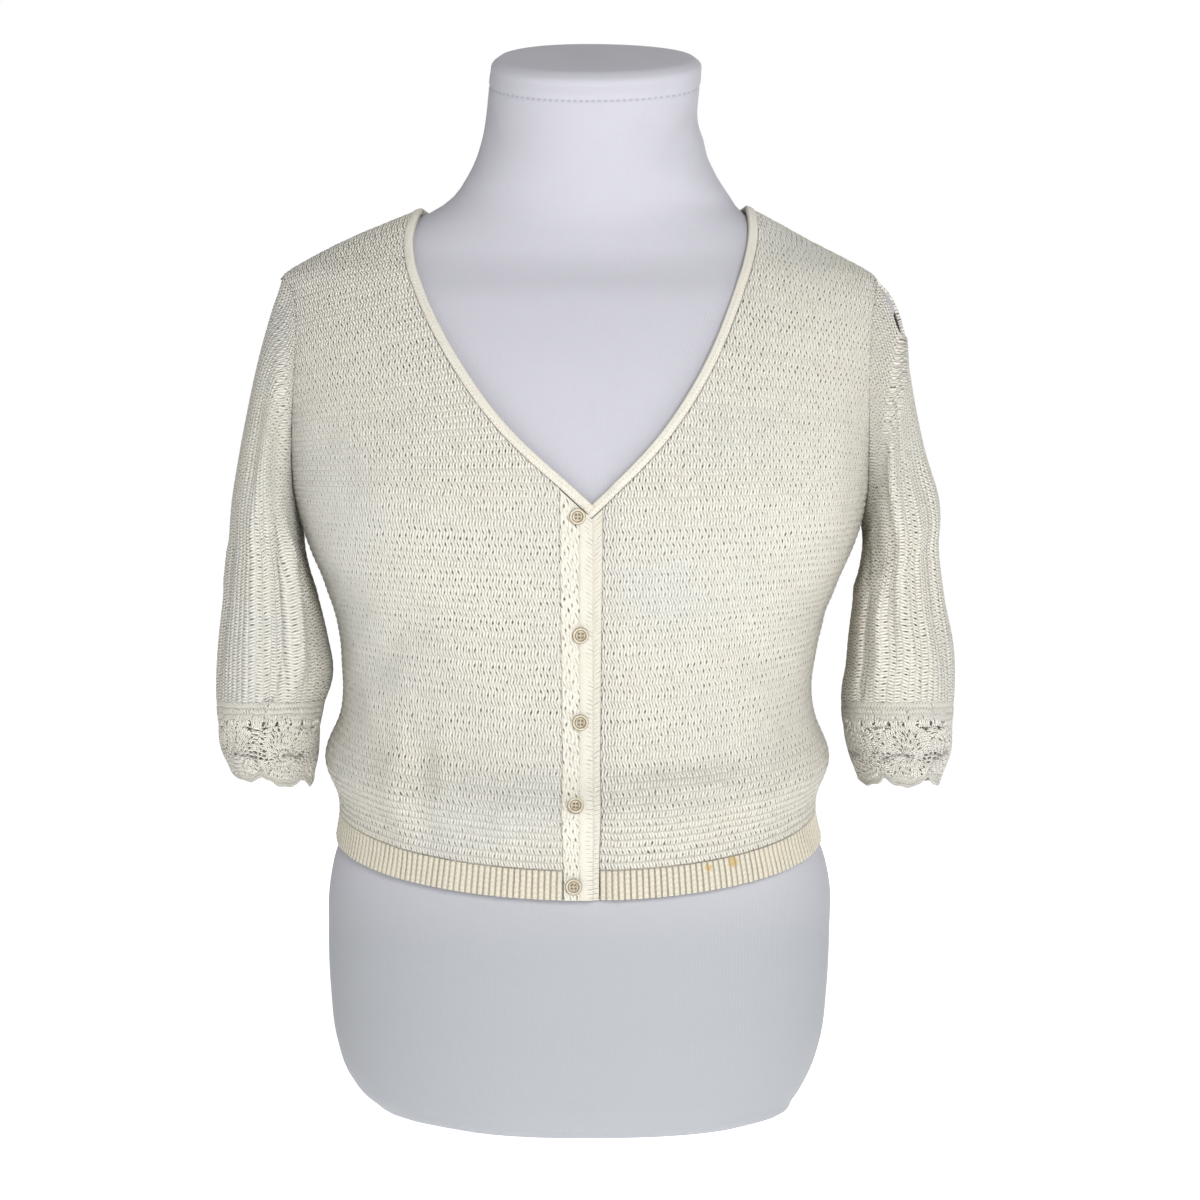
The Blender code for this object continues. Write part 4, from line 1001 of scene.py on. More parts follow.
def lace_cuff(side):
    """Lace cuff: rows of posts, an eyelet row, round flowers and a corded scalloped edge."""
    sign = -1 if side == "right" else 1
    face = sleeve_face(side)
    mood = np.random.default_rng(3 if side == "right" else 5)

    def place(flat, lift):
        s, t = flat[:, 0], flat[:, 1]
        deep = np.clip(t / 12, 0, 1)
        turn = (s + deep * (0.7 * np.sin(t * 0.41 + s * 0.17) + 0.4 * np.sin(t * 0.9 - s * 0.33)))
        down = t + deep * (0.5 * np.sin(s * 0.31 + 1) + 0.4 * np.sin(s * 0.13 + t * 0.2))
        turn, station = turn / SLEEVE_ROUND, CUFF_STATION + HALF_SEAM + down
        normal = sign * facing(face, turn, station)
        lift = np.where(lift > -1, lift * (0.25 + 0.75 * deep), lift)
        lift = lift + 0.5 * deep * np.sin(s * 0.11 + t * 0.19) * (lift > -1)
        return face(turn, station) + normal * lift[:, None]

    def straight(count, down, shift=0.0):
        across = (np.arange(count) + shift) * RING / count
        return np.stack((across, down + 0 * across), -1)

    def shares(count, wide, tall, kept=1.0):
        spread = 1 + 0.4 * (mood.random((count, 2)) - 0.5)
        cut = np.stack((np.full(count, wide), np.full(count, tall)), -1) * spread
        return cut * (mood.random(count) < kept)[:, None]

    rounds = []
    for row, (low, high, kept) in enumerate(((-1.2, 4.6, 0.04), (3.7, 8.7, 0.16), (7.7, 12.6, 0.24))):
        shift = 0.5 * (row % 2)
        rounds.append((straight(114, low, shift), straight(114, high, shift + 0.15),
                       shares(114, 0.34, 0.48, kept), RING))
    eyelets = shares(72, 0.36, 0.45, 0.3)
    eyelets[::3] = shares(24, 0.86, 0.66)
    rounds.append((straight(72, 11.5), straight(72, 17.4), eyelets, RING))
    for flower in range(MEDALLIONS):
        edge = (flower + FLOWER_SHIFT[side] / FLOWER_CELLS) * FLOWER_WIDE
        centre = (edge + FLOWER_WIDE / 2, FLOWER_CENTRE)
        ladder = ((0.07, 0.25, 7, 0.20, 0.3), (0.24, 0.44, 14, 0.38, 0.4), (0.43, 0.63, 22, 0.38, 0.3),
                  (0.62, 0.82, 30, 0.46, 0.34), (0.81, 1.0, 34, 0.44, 0.30))
        for inner, outer, cells, gap, kept in ladder:
            turned = mood.random() * 0.2
            cut = shares(cells, gap, 0.50, kept)
            turns = (np.arange(cells) + 0.5) * 2 * pi / cells + turned
            if cells == 22:
                cut[::3] = shares(len(cut[::3]), 0.40, 0.50)
            if cells in (30, 34):
                beside_it = (np.abs(np.sin(turns)) < 0.28) & (np.sin(turns) > -0.2)
                cut[beside_it] = shares(int(beside_it.sum()), 0.70, 0.72)
            rounds.append((flower_ring(centre, inner - 0.02, cells, turned),
                           flower_ring(centre, outer + 0.02, cells, turned + 0.02), cut, 0.0))
        end = scallop(np.array(edge), side) - 4.5
        down = np.linspace(16.6, end, 10)
        off = np.clip(np.abs(down - FLOWER_CENTRE) / 20, 0, 1)
        half = 1.3 + FLOWER_HALF * (1 - (1 - off**3) ** (1 / 3))
        half = np.clip(half, 1.3, 7.5)
        rounds.append((np.stack((edge - half, down), -1), np.stack((edge + half, down), -1),
                       shares(9, 0.34, 0.40, 0.8), None))
    for low, high, count, wide in ((6.2, 2.3, 150, 0.0), (3.3, 0.0, 130, 0.0)):
        lines = []
        for off in (low, high):
            across = (np.arange(count) + (0.4 if off == high else 0)) * RING / count
            lines.append(np.stack((across, scallop(across, side) - off), -1))
        rounds.append((*lines, shares(count, wide, 0.3), RING))
    return crochet("lace_cuff_" + side, rounds, place)


FORM_COLUMNS = 144               # round the form
COVER_SEAM = 711                 # height of the cover's sewn line
CAP_RISE = 1.6                   # how far the top's middle is domed
LEFT_SHOULDER = (7.5, 550, 34)   # how much fuller it is, at which height, over which reach
NECK_FOLDS = (
    # x start, height start, x end, height end, width, rise
    (52, 655, 88, 716, 5, -1.3),
    (62, 640, 92, 694, 5, 1.1),
    (36, 690, 60, 722, 4, -0.8),
    (-62, 668, -72, 712, 5, -0.7),
)


def covered_form():
    """The dress form in its jersey cover, with a seam near the top and soft neck wrinkles."""
    foot, trunk, neck = (0, 30, 13), (34, 640, 102), (643, 730, 60)
    rows = np.concatenate([np.linspace(*run) for run in (foot, trunk, neck)])
    angle, height = np.meshgrid(np.linspace(-pi, pi, FORM_COLUMNS + 1)[:-1], rows)
    x, y = section(FORM, angle, height)
    lean = np.interp(height, [row[0] for row in FORM], [row[6] for row in FORM])
    points = np.stack((x, y, height + lean * y), -1)
    folds = creases(NECK_FOLDS, x, height) * (y < 0)
    stitching = -0.7 * np.exp(-((COVER_SEAM - height) / 1.3) ** 2)
    puckers = 0.25 * np.sin(angle * 64) * np.exp(-((COVER_SEAM - 2 - height) / 6.0) ** 2)
    out = np.stack((np.sin(angle), -np.cos(angle), 0 * angle), -1)
    fuller, middle, reach = LEFT_SHOULDER
    shoulder = (x > 0) * fuller * np.exp(-((height - middle) / reach) ** 2 - (y / reach) ** 2)
    points = points + out * (folds + stitching + puckers + shoulder)[..., None]
    ids = np.arange(points.shape[0] * points.shape[1]).reshape(points.shape[:2])
    after = np.roll(ids, -1, 1)
    quads = np.stack((ids[:-1], after[:-1], after[1:], ids[1:]), -1).reshape(-1, 4)
    levels, caps = [points.reshape(-1, 3)], []
    for ring, order, rise in ((0, -1, 0), (-1, 1, CAP_RISE)):
        centre = points[ring].mean(0)
        previous = ids[ring]
        for share in (0.93, 0.8, 0.55):
            start = sum(len(level) for level in levels)
            level = points[ring] * share + centre * (1 - share)
            levels.append(level + np.array((0, 0, 1)) * rise * (1 - share ** 4))
            ring_ids = np.arange(start, start + len(level))
            caps += cap_faces(previous, ring_ids, order)
            previous = ring_ids
        caps.append(previous[::order].tolist())
    mesh = bpy.data.meshes.new("form_cover")
    mesh.from_pydata((np.concatenate(levels) * MM).tolist(), [], quads.tolist() + caps)
    return placed("form_cover", mesh)


def cap_faces(outer, inner, order):
    """Quads between two rings of a cap."""
    quads = np.stack((outer, np.roll(outer, -1), np.roll(inner, -1), inner), -1)
    return (quads[:, ::-1] if order < 0 else quads).tolist()


HOLE_OFFSET = 1.05 * MM          # from the button's middle to a hole, across and up
# Steps in from a button's rim: how far in, and how far up or down.
BUTTON_STEPS = ((0.45, 0.75), (0.80, 0.0), (0.75, -0.85), (0.60, -0.05))


def sewn_button():
    """Dished four-hole button with its thread, modelled lying at the origin."""
    deselect()
    radius = sizes().button_radius
    bpy.ops.mesh.primitive_cylinder_add(
        vertices=48, radius=radius, depth=1.5 * MM, end_fill_type="NGON", location=(0, 0, 0.85 * MM))
    disc = bpy.context.active_object
    bpy.ops.object.transform_apply(location=True, rotation=True, scale=True)
    bpy.ops.object.mode_set(mode="EDIT")
    work = bmesh.from_edit_mesh(disc.data)
    for face in work.faces:
        face.select = face.normal.z > 0.9
    bmesh.update_edit_mesh(disc.data)
    for across, deep in BUTTON_STEPS:
        bpy.ops.mesh.inset(thickness=across * MM, depth=deep * MM)
    bpy.ops.object.mode_set(mode="OBJECT")
    for x, y in ((-1, -1), (1, -1), (1, 1), (-1, 1)):
        deselect()
        bpy.ops.mesh.primitive_cylinder_add(
            vertices=16, radius=0.52 * MM, depth=6 * MM, location=(x * HOLE_OFFSET, y * HOLE_OFFSET, 0))
        drill = bpy.context.active_object
        bpy.context.view_layer.objects.active = disc
        hole = disc.modifiers.new("hole", "BOOLEAN")
        hole.operation, hole.solver, hole.object = "DIFFERENCE", "EXACT", drill
        bpy.ops.object.modifier_apply(modifier=hole.name)
        bpy.data.objects.remove(drill)
    deselect()
    bpy.context.view_layer.objects.active = disc
    disc.select_set(True)
    soften = disc.modifiers.new("soften", "BEVEL")
    soften.width, soften.segments, soften.limit_method = 0.16 * MM, 2, "ANGLE"
    bpy.ops.object.modifier_apply(modifier=soften.name)
    while disc.data.uv_layers:
        disc.data.uv_layers.remove(disc.data.uv_layers[0])
    marks = disc.data.uv_layers.new(name="stitches")
    for loop in disc.data.loops:
        spot = disc.data.vertices[loop.vertex_index].co
        marks.data[loop.index].uv = (spot.x / radius, spot.y / radius)
    threads = []
    for x in (-1, 1):
        deselect()
        bpy.ops.mesh.primitive_torus_add(
            location=(x * HOLE_OFFSET, 0, 0.95 * MM), rotation=(pi / 2, 0, pi / 2), major_segments=20,
            minor_segments=8, major_radius=HOLE_OFFSET, minor_radius=0.3 * MM)
        loop = bpy.context.active_object
        bpy.ops.object.transform_apply(location=True, rotation=True, scale=True)
        threads.append(loop)
    return disc, threads


def button_seat(across, height):
    """Where a button lies on the band, as a matrix in metres."""
    angle = np.array(angle_at(across, height))
    height = np.array(float(height))
    normal = facing(body, angle, height)
    seat = (body(angle, height) + normal * (TRIM_RISE + LAID_CLEAR)) * MM
    across_it = np.cross((0, 0, 1), normal)
    across_it /= np.linalg.norm(across_it)
    up = np.cross(normal, across_it)
    matrix = Matrix((across_it, up, normal)).transposed().to_4x4()
    matrix.translation = Vector(seat)
    return matrix


def set_on(piece, name, matrix):
    """A copy of a piece with its own mesh, its place in its mesh."""
    mesh = piece.data.copy()
    mesh.name = name
    mesh.transform(matrix)
    twin = bpy.data.objects.new(name, mesh)
    bpy.context.scene.collection.objects.link(twin)
    deselect()
    twin.select_set(True)
    bpy.context.view_layer.objects.active = twin
    bpy.ops.object.shade_smooth_by_angle(angle=radians(40))
    twin.select_set(False)
    return twin


class Amount:
    """A number inside a material, on which ordinary arithmetic adds Math nodes."""

    def __init__(self, finish, socket):
        self.finish = finish
        self.socket = socket

    def maths(self, operation, *others):
        node = self.finish.node("ShaderNodeMath", {"operation": operation}, (self, *others))
        return Amount(self.finish, node.outputs[0])

    def __add__(self, other):
        return self.maths("ADD", other)

    __radd__ = __add__

    def __mul__(self, other):
        return self.maths("MULTIPLY", other)

    __rmul__ = __mul__

    def __sub__(self, other):
        return self.maths("SUBTRACT", other)

    def __rsub__(self, other):
        return self * -1 + other

    def __truediv__(self, other):
        return self.maths("DIVIDE", other)

    def __pow__(self, other):
        return self.maths("POWER", other)

    def __gt__(self, other):
        return self.maths("GREATER_THAN", other)

    def floor(self):
        return self.maths("FLOOR")

    def fraction(self):
        return self.maths("FRACT")

    def size(self):
        return self.maths("ABSOLUTE")

    def wave(self):
        return self.maths("SINE")

    def root(self):
        return self.maths("SQRT")

    def bell(self, width):
        """A rounded bump where the number is near 0."""
        scaled = self / width
        return (scaled * scaled * -1).maths("EXPONENT")

    def between(self, low, high):
        """0 below low, 1 above high and smooth between."""
        settings = {"interpolation_type": "SMOOTHSTEP"}
        values = {"Value": self, "From Min": low, "From Max": high}
        node = self.finish.node("ShaderNodeMapRange", settings, values)
        return Amount(self.finish, node.outputs[0])


class Finish:
    """A material of nodes on one Principled shader."""

    def __init__(self, name, **constants):
        self.material = bpy.data.materials.new(name)
        self.material.use_nodes = True
        self.tree = self.material.node_tree
        self.shader = self.tree.nodes["Principled BSDF"]
        for socket, value in constants.items():
            self.shader.inputs[socket.replace("_", " ")].default_value = value

    def node(self, kind, settings=None, values=()):
        """Add a node: its settings first, then its sockets' values or links."""
        node = self.tree.nodes.new(kind)
        for name, setting in (settings or {}).items():
            setattr(node, name, setting)
        self.feed(node, values)
        return node

    def feed(self, node, values):
        """Set or link a node's sockets, by name or by order."""
        pairs = values.items() if isinstance(values, dict) else enumerate(values)
        for key, value in pairs:
            value = getattr(value, "socket", value)
            if isinstance(value, bpy.types.NodeSocket):
                self.tree.links.new(value, node.inputs[key])
            else:
                node.inputs[key].default_value = value

    def place(self):
        """Object coordinates as three amounts, in metres, and as a vector."""
        vector = self.node("ShaderNodeTexCoord").outputs["Object"]
        parts = self.node("ShaderNodeSeparateXYZ", values=(vector,)).outputs
        return vector, [Amount(self, part) for part in parts]

    def stitches(self):
        """The piece's stitch counts across and up."""
        vector = self.node("ShaderNodeUVMap", {"uv_map": "stitches"}).outputs[0]
        parts = self.node("ShaderNodeSeparateXYZ", values=(vector,)).outputs
        return Amount(self, parts[0]), Amount(self, parts[1])

    def noise(self, vector, scale, detail=2.0, roughness=0.5):
        """Cloudy amount about 0.5, with features of about 1/scale metres."""
        values = {"Vector": vector, "Scale": scale, "Detail": detail, "Roughness": roughness}
        return Amount(self, self.node("ShaderNodeTexNoise", values=values).outputs[0])

    def chance(self, across, up):
        """A number from 0 to 1 that is different for each stitch."""
        spot = self.node("ShaderNodeCombineXYZ", values=(across, up, 0.0)).outputs[0]
        return Amount(self, self.node("ShaderNodeTexWhiteNoise", values={"Vector": spot}).outputs[0])

    def mix(self, share, low, high):
        """A colour between two others."""
        values = {0: share, 6: low, 7: high}
        return self.node("ShaderNodeMix", {"data_type": "RGBA"}, values).outputs[2]

    def relief(self, height, distance, strength):
        """A bumped normal from a height of 0 to 1 that stands for a distance in metres."""
        values = {"Height": height, "Distance": distance, "Strength": strength}
        return self.node("ShaderNodeBump", values=values).outputs[0]

    def give(self, **values):
        """Feed the shader's own sockets."""
        self.feed(self.shader, {key.replace("_", " "): value for key, value in values.items()})
        return self.material


def rgb(colour):
    """A colour property with full alpha."""
    return (*colour, 1.0)


def shaded_places(axes, spots):
    """How much painted shade some places on the cloth get, from their middles and reaches in mm."""
    total = 0
    for *middle, wide, deep, tall, strength in spots:
        spot = strength
        for axis, centre, reach in zip(axes, middle, (wide, deep, tall)):
            spot = (axis * 1000 - centre).bell(reach) * spot
        total = spot + total
    return total


# Painted shade at the armpits, on the sleeves' inner sides next to the body, and on the back's sides
# behind the waist.
ARM_SHADE = (
    # x, y, z, reach along each, strength
    (-187, -8, 405, 8, 30, 40, 0.95),
    (-158, 12, 306, 15, 30, 30, 0.95),
    (-186, -8, 335, 8, 30, 48, 0.6),
    (189, -8, 415, 8, 30, 48, 0.8),
    (184, -8, 360, 8, 30, 48, 0.6),
    (162, 12, 318, 12, 28, 24, 0.4),
    (180, -14, 300, 12, 30, 36, 0.5),
)


def strokes(finish, vector, u, v, deep_valleys=0.0):
    """How lit and how high rows of leaning yarn strokes are, with painted shade in the dark ticks and
    valleys between.
    """
    slow = finish.noise(vector, 55.0, 2.0) - 0.5
    quick = finish.noise(vector, 170.0, 2.0) - 0.5
    v = v + slow * 0.22 + quick * 0.14
    u = u + slow * 0.16 + quick * 0.20
    row = v.floor()
    f = v - row - 0.5
    odd = (row * 0.5).fraction() * 2
    chance_row = finish.chance(row, 7.0)
    g = u * 1.4 + odd * 0.45 + (odd * -0.50 + 0.38) * f + (chance_row - 0.5) * 0.3
    column = g.floor()
    d = g - column
    chance = finish.chance(column, row)
    other = finish.chance(column, row + 0.5)
    wall = 0.5 - (d - 0.5 + (other - 0.5) * 0.12).size()
    strong = (chance * 0.8 + 0.3) * (chance_row * 0.6 + 0.5)
    tick = wall.bell(0.14) * (f + 0.16 + (other - 0.5) * 0.3).bell(0.22) * strong
    half = (d - 0.5).bell(0.07) * (f + (chance - 0.5) * 0.4).bell(0.18) * (other * 0.5 + 0.2)
    pair = ((d * 2).fraction() - 0.5).size()
    crown = (pair * -2 + 1).between(0.0, 0.7)
    # Painted shade in the valleys between rows; the last argument makes it darker and the bump deeper.
    valley = (0.5 - f.size()).bell(0.13) * (deep_valleys * 0.45 + 0.35)
    # Painted light and shade: bright crowns, and painted shade in the ticks, the half ticks, the row
    # valleys and at the strokes' sides.
    lit = 1.10 - tick * 1.5 - half * 0.4 - valley * 0.50 - (1 - crown) * 0.22
    lit = lit + (chance_row - 0.5) * 0.08 + (chance - 0.5) * 0.10 + quick * 0.35
    height = crown * 0.9 * (1 - valley * 1.4) - tick * 0.9 - half * 0.4
    twist = ((d * 2).fraction() * 2.2 + f * 5).wave() * 0.10
    return lit, height + twist


def knit_finish(name):
    """Cream knit: uneven rows of leaning yarn strokes, with painted shade in the ticks and valleys
    between them and under the arms.
    """
    look = colours()
    finish = Finish(name, Roughness=0.86, Sheen_Weight=0.10, Sheen_Roughness=0.55,
                    Sheen_Tint=(1.0, 0.97, 0.90, 1.0), Specular_IOR_Level=0.25)
    vector, axes = finish.place()
    u, v = finish.stitches()
    # The lowest rows get darker painted shade in their valleys and a deeper bump.
    lit, height = strokes(finish, vector, u, v, 1 - v.between(8.0, 24.0))
    fuzz = finish.noise(vector, 2600.0, 3.0, 0.65)
    cloud = finish.noise(vector, 9.0, 3.0)
    # Painted shade from the hollows' colour up to the lit cream crowns.
    colour = finish.mix(lit + (fuzz - 0.5) * 0.12, rgb(look.painted_hollow_shade), rgb(look.cream))
    colour = finish.mix(cloud.between(0.42, 0.72) * 0.4, colour, rgb(look.cool))
    colour = finish.mix(finish.noise(vector, 21.0).between(0.5, 0.8) * 0.16, colour, rgb(look.warm))
    # Painted ochre shade under the arms and behind the waist.
    shade = shaded_places(axes, ARM_SHADE)
    colour = finish.mix((shade * (1.25 - lit * 0.6)).between(0.05, 1.0), colour, rgb(look.ochre))
    normal = finish.relief(height + fuzz * 0.14, 1.0 * MM, 0.9)
    return finish.give(Base_Color=colour, Normal=normal)


def rib_finish():
    """Warmer ribbed knit with painted shade in the dark ochre lines between the ribs, and its two
    stains.
    """
    look = colours()
    finish = Finish("ribbed_yarn", Roughness=0.84, Sheen_Weight=0.2, Specular_IOR_Level=0.25)
    vector, axes = finish.place()
    u, v = finish.stitches()
    quick = finish.noise(vector, 240.0, 2.0) - 0.5
    rib = u + quick * 0.12
    number = rib.floor()
    across = rib - number - 0.5
    crown = 1 - across.size().between(0.30, 0.5)
    chance = finish.chance(number, 3.0)
    slant = v + across.size() * 1.1 + chance * 0.7
    loop = (slant.fraction() - 0.5).size().between(0.5, 0.18)
    fuzz = finish.noise(vector, 2600.0, 3.0, 0.65)
    # Painted shade between the ribs and between their loops.
    lit = 1 - (1 - crown) * (chance * 0.5 + 0.5) * 0.8 - (1 - loop) * 0.14
    colour = finish.mix(lit, rgb(look.painted_warm_shade), rgb(look.rib))
    colour = finish.mix(finish.noise(vector, 30.0).between(0.45, 0.8) * 0.3, colour, rgb(look.warm))
    colour = finish.mix(stain_mask(finish, axes), colour, rgb(look.stain))
    normal = finish.relief(crown * 0.7 + loop * crown * 0.3 + fuzz * 0.12, 0.9 * MM, 0.8)
    return finish.give(Base_Color=colour, Normal=normal)


def stain_mask(finish, axes):
    """The two small ochre stains on the hem's left front."""
    x, y, z = (axis * 1000 for axis in axes)
    edge = (finish.noise(finish.place()[0], 420.0) - 0.5) * 2.2
    total = 0
    for across, up, wide, tall, strength in (
            (97.2, 183.7, 3.9, 4.4, 0.8), (80.8, 180.5, 3.0, 3.0, 0.75)):
        off = ((x - across) / wide) ** 2.0 + ((z - up) / tall) ** 2.0
        total = off.root().maths("ADD", edge * 0.25).between(1.15, 0.45) * strength + total
    return total * (y * -1 > 0)


def lace_finish():
    """Crocheted lace yarn: painted highlights on the posts' crowns, painted shade towards the openings
    and along each round's edges, and painted shade under the arms.
    """
    look = colours()
    finish = Finish("lace_yarn", Roughness=0.85, Sheen_Weight=0.2, Specular_IOR_Level=0.25)
    vector, axes = finish.place()
    u, v = finish.stitches()
    lit, height = strokes(finish, vector, u * 0.75, v * 1.5)
    up = v - (v * 0.5).floor() * 2
    ridge = (up - 0.5).size().between(0.28, 0.52)
    fuzz = finish.noise(vector, 2600.0, 3.0, 0.65)
    # Brighter overall, with painted shade along the edges of each round.
    lit = lit + 0.10 - ridge * 0.12 + (fuzz - 0.5) * 0.15
    colour = finish.mix(lit, rgb(look.painted_hollow_shade), rgb(look.cream))
    colour = finish.mix(
        finish.noise(vector, 14.0, 3.0).between(0.42, 0.72) * 0.3, colour, rgb(look.cool))
    # Painted ochre shade under the arms and behind the waist.
    shade = shaded_places(axes, ARM_SHADE)
    colour = finish.mix(shade.between(0.1, 1.0), colour, rgb(look.ochre))
    normal = finish.relief(height + fuzz * 0.15, 0.8 * MM, 0.9)
    return finish.give(Base_Color=colour, Normal=normal)


def trim_finish(name, knit_up_to=-2.0):
    """Close trim: small strokes along it with painted shade between them and along its edges, and knit
    rows up to a share of its width.
    """
    look = colours()
    finish = Finish(name, Roughness=0.82, Sheen_Weight=0.2, Specular_IOR_Level=0.25)
    vector, _ = finish.place()
    u, v = finish.stitches()
    lit, height = strokes(finish, vector, v * 0.6, u * 1.2 + 0.5)
    # Painted shade darkens both edges of the strip.
    lit = lit * 0.35 + 0.68 - u.size().between(0.80, 1.0) * 0.25
    if knit_up_to > -1:
        knit_lit, knit_height = strokes(finish, vector, u * 1.68 + 0.2, v * 0.53)
        share = u.between(knit_up_to + 0.12, knit_up_to)
        # A line of painted shade marks the fold where the knit meets the roll.
        lit = lit + (knit_lit - lit) * share - (u - knit_up_to - 0.05).bell(0.08) * 0.22
        height = height + (knit_height - height) * share
    fuzz = finish.noise(vector, 2600.0, 3.0, 0.65)
    # Painted shade towards the hollows' colour where the strokes are less lit.
    painted_hollow_shade = look.painted_hollow_shade if knit_up_to > -1 else look.painted_warm_shade
    colour = finish.mix(lit + (fuzz - 0.5) * 0.14, rgb(painted_hollow_shade), rgb(look.trim))
    colour = finish.mix(finish.noise(vector, 36.0).between(0.45, 0.8) * 0.3, colour, rgb(look.warm))
    normal = finish.relief(height * 0.4 + fuzz * 0.2, 0.8 * MM, 0.8)
    return finish.give(Base_Color=colour, Normal=normal)


def button_finish():
    """Ivory button: faint clouding, a soft gloss, and painted shade in its grooves, round its holes and
    at its rim.
    """
    look = colours()
    finish = Finish("button_ivory", Specular_IOR_Level=0.5, Coat_Weight=0.15)
    vector, _ = finish.place()
    cloud = finish.noise(vector, 420.0, 3.0)
    u, v = finish.stitches()
    r = (u * u + v * v).root()
    hole = ((u.size() - 0.2) ** 2.0 + (v.size() - 0.2) ** 2.0).root().bell(0.15) * 1.3
    # Painted shade in the grooves, round the holes and at the rim.
    painted_groove_shade = (r - 0.64).bell(0.08) * 0.9 + (r - 1.0).bell(0.07) * 0.8 + hole
    painted_groove_shade = painted_groove_shade + (r - 0.40).bell(0.12) * 0.35
    colour = finish.mix(cloud.between(0.35, 0.7) * 0.5, rgb(look.button), rgb(look.cream))
    colour = finish.mix(painted_groove_shade, colour, rgb(look.painted_button_shade))
    normal = finish.relief(finish.noise(vector, 900.0, 2.0), 0.08 * MM, 0.5)
    return finish.give(Base_Color=colour, Roughness=cloud * 0.16 + 0.34, Normal=normal)


def thread_finish():
    """Sewing thread: fine twist in a paler yarn colour."""
    look = colours()
    finish = Finish("sewing_thread", Roughness=0.8)
    vector, _ = finish.place()
    twist = finish.noise(vector, 3000.0, 2.0)
    # Painted shade in the grooves of the twist.
    colour = finish.mix(twist, rgb(look.painted_warm_shade), rgb(look.warm))
    return finish.give(Base_Color=colour, Normal=finish.relief(twist, 0.1 * MM, 0.6))


def cover_finish():
    """Lavender-grey jersey: fine vertical ribs of machine knit, a sewn line at the top, and painted
    shade that makes it darker and greyer low on the form.
    """
    look = colours()
    finish = Finish("form_jersey", Roughness=0.72, Sheen_Weight=0.08, Sheen_Roughness=0.45,
                    Specular_IOR_Level=0.3)
    vector, axes = finish.place()
    x, y, z = axes
    fine = finish.noise(vector, 1500.0, 2.0, 0.6)
    wale = (x.maths("ARCTAN2", y * -1) * 380).wave() * 0.5 + 0.5
    course = (z * 5200).wave() * 0.5 + 0.5
    cloud = finish.noise(vector, 11.0, 3.0)
    colour = finish.mix(
        wale * 0.25 + course * 0.10 + cloud * 0.4, rgb(look.cover), rgb(look.cover_dark))
    # Painted shade: darker and greyer low on the form.
    colour = finish.mix(z.between(0.20, 0.12) * 0.85, colour, rgb(look.cover_painted_low_shade))
    along = z - y * 0.34
    line = (along * 1000 - COVER_SEAM).bell(0.7)
    dash = (x.maths("ARCTAN2", y * -1) * 90).wave().between(-0.4, 0.1)
    colour = finish.mix(line * dash * 0.8, colour, rgb(look.cover_thread))
    normal = finish.relief(wale * 0.3 + course * 0.2 + fine * 0.5, 0.25 * MM, 0.5)
    return finish.give(Base_Color=colour, Normal=normal)


def floor_finish():
    """Plain pale floor."""
    finish = Finish("pale_floor", Roughness=0.9, Emission_Color=(1.0, 1.0, 1.0, 1.0),
                    Emission_Strength=0.78)
    vector, _ = finish.place()
    soft = finish.noise(vector, 0.8, 1.0)
    colour = finish.mix(soft * 0.3, rgb(colours().floor), (0.94, 0.94, 0.94, 1.0))
    return finish.give(Base_Color=colour)


def length(name, description, default):
    """A size property in metres."""
    return FloatProperty(name=name, description=description, default=default, min=0.0,
                         unit="LENGTH", subtype="DISTANCE", precision=5)


def colour(name, description, default):
    """A colour property."""
    return FloatVectorProperty(name=name, description=description, default=default, size=3,
                               min=0.0, max=1.0, subtype="COLOR")


class CardiganSizes(bpy.types.PropertyGroup):
    """Sizes of the stitches and fittings."""

    stitch_width: length("Stitch width", "Width of one stitch of the knit", 0.0058)
    stitch_height: length("Row height", "Height of one row of the knit", 0.0049)
    stitch_depth: length("Stitch depth", "How far the loops stand out", 0.0010)
    rib_pitch: length("Rib pitch", "Width of one rib of the hem", 0.0040)
    button_radius: length("Button radius", "Half the width of a button", 0.0053)
    camera_distance: length("Camera distance", "From the camera to the form's middle", 2.2)
    camera_height: length("Camera height", "Height of the camera over the floor", 0.356)
    view_width: length("View width", "Width of the picture at the form's middle", 0.828)


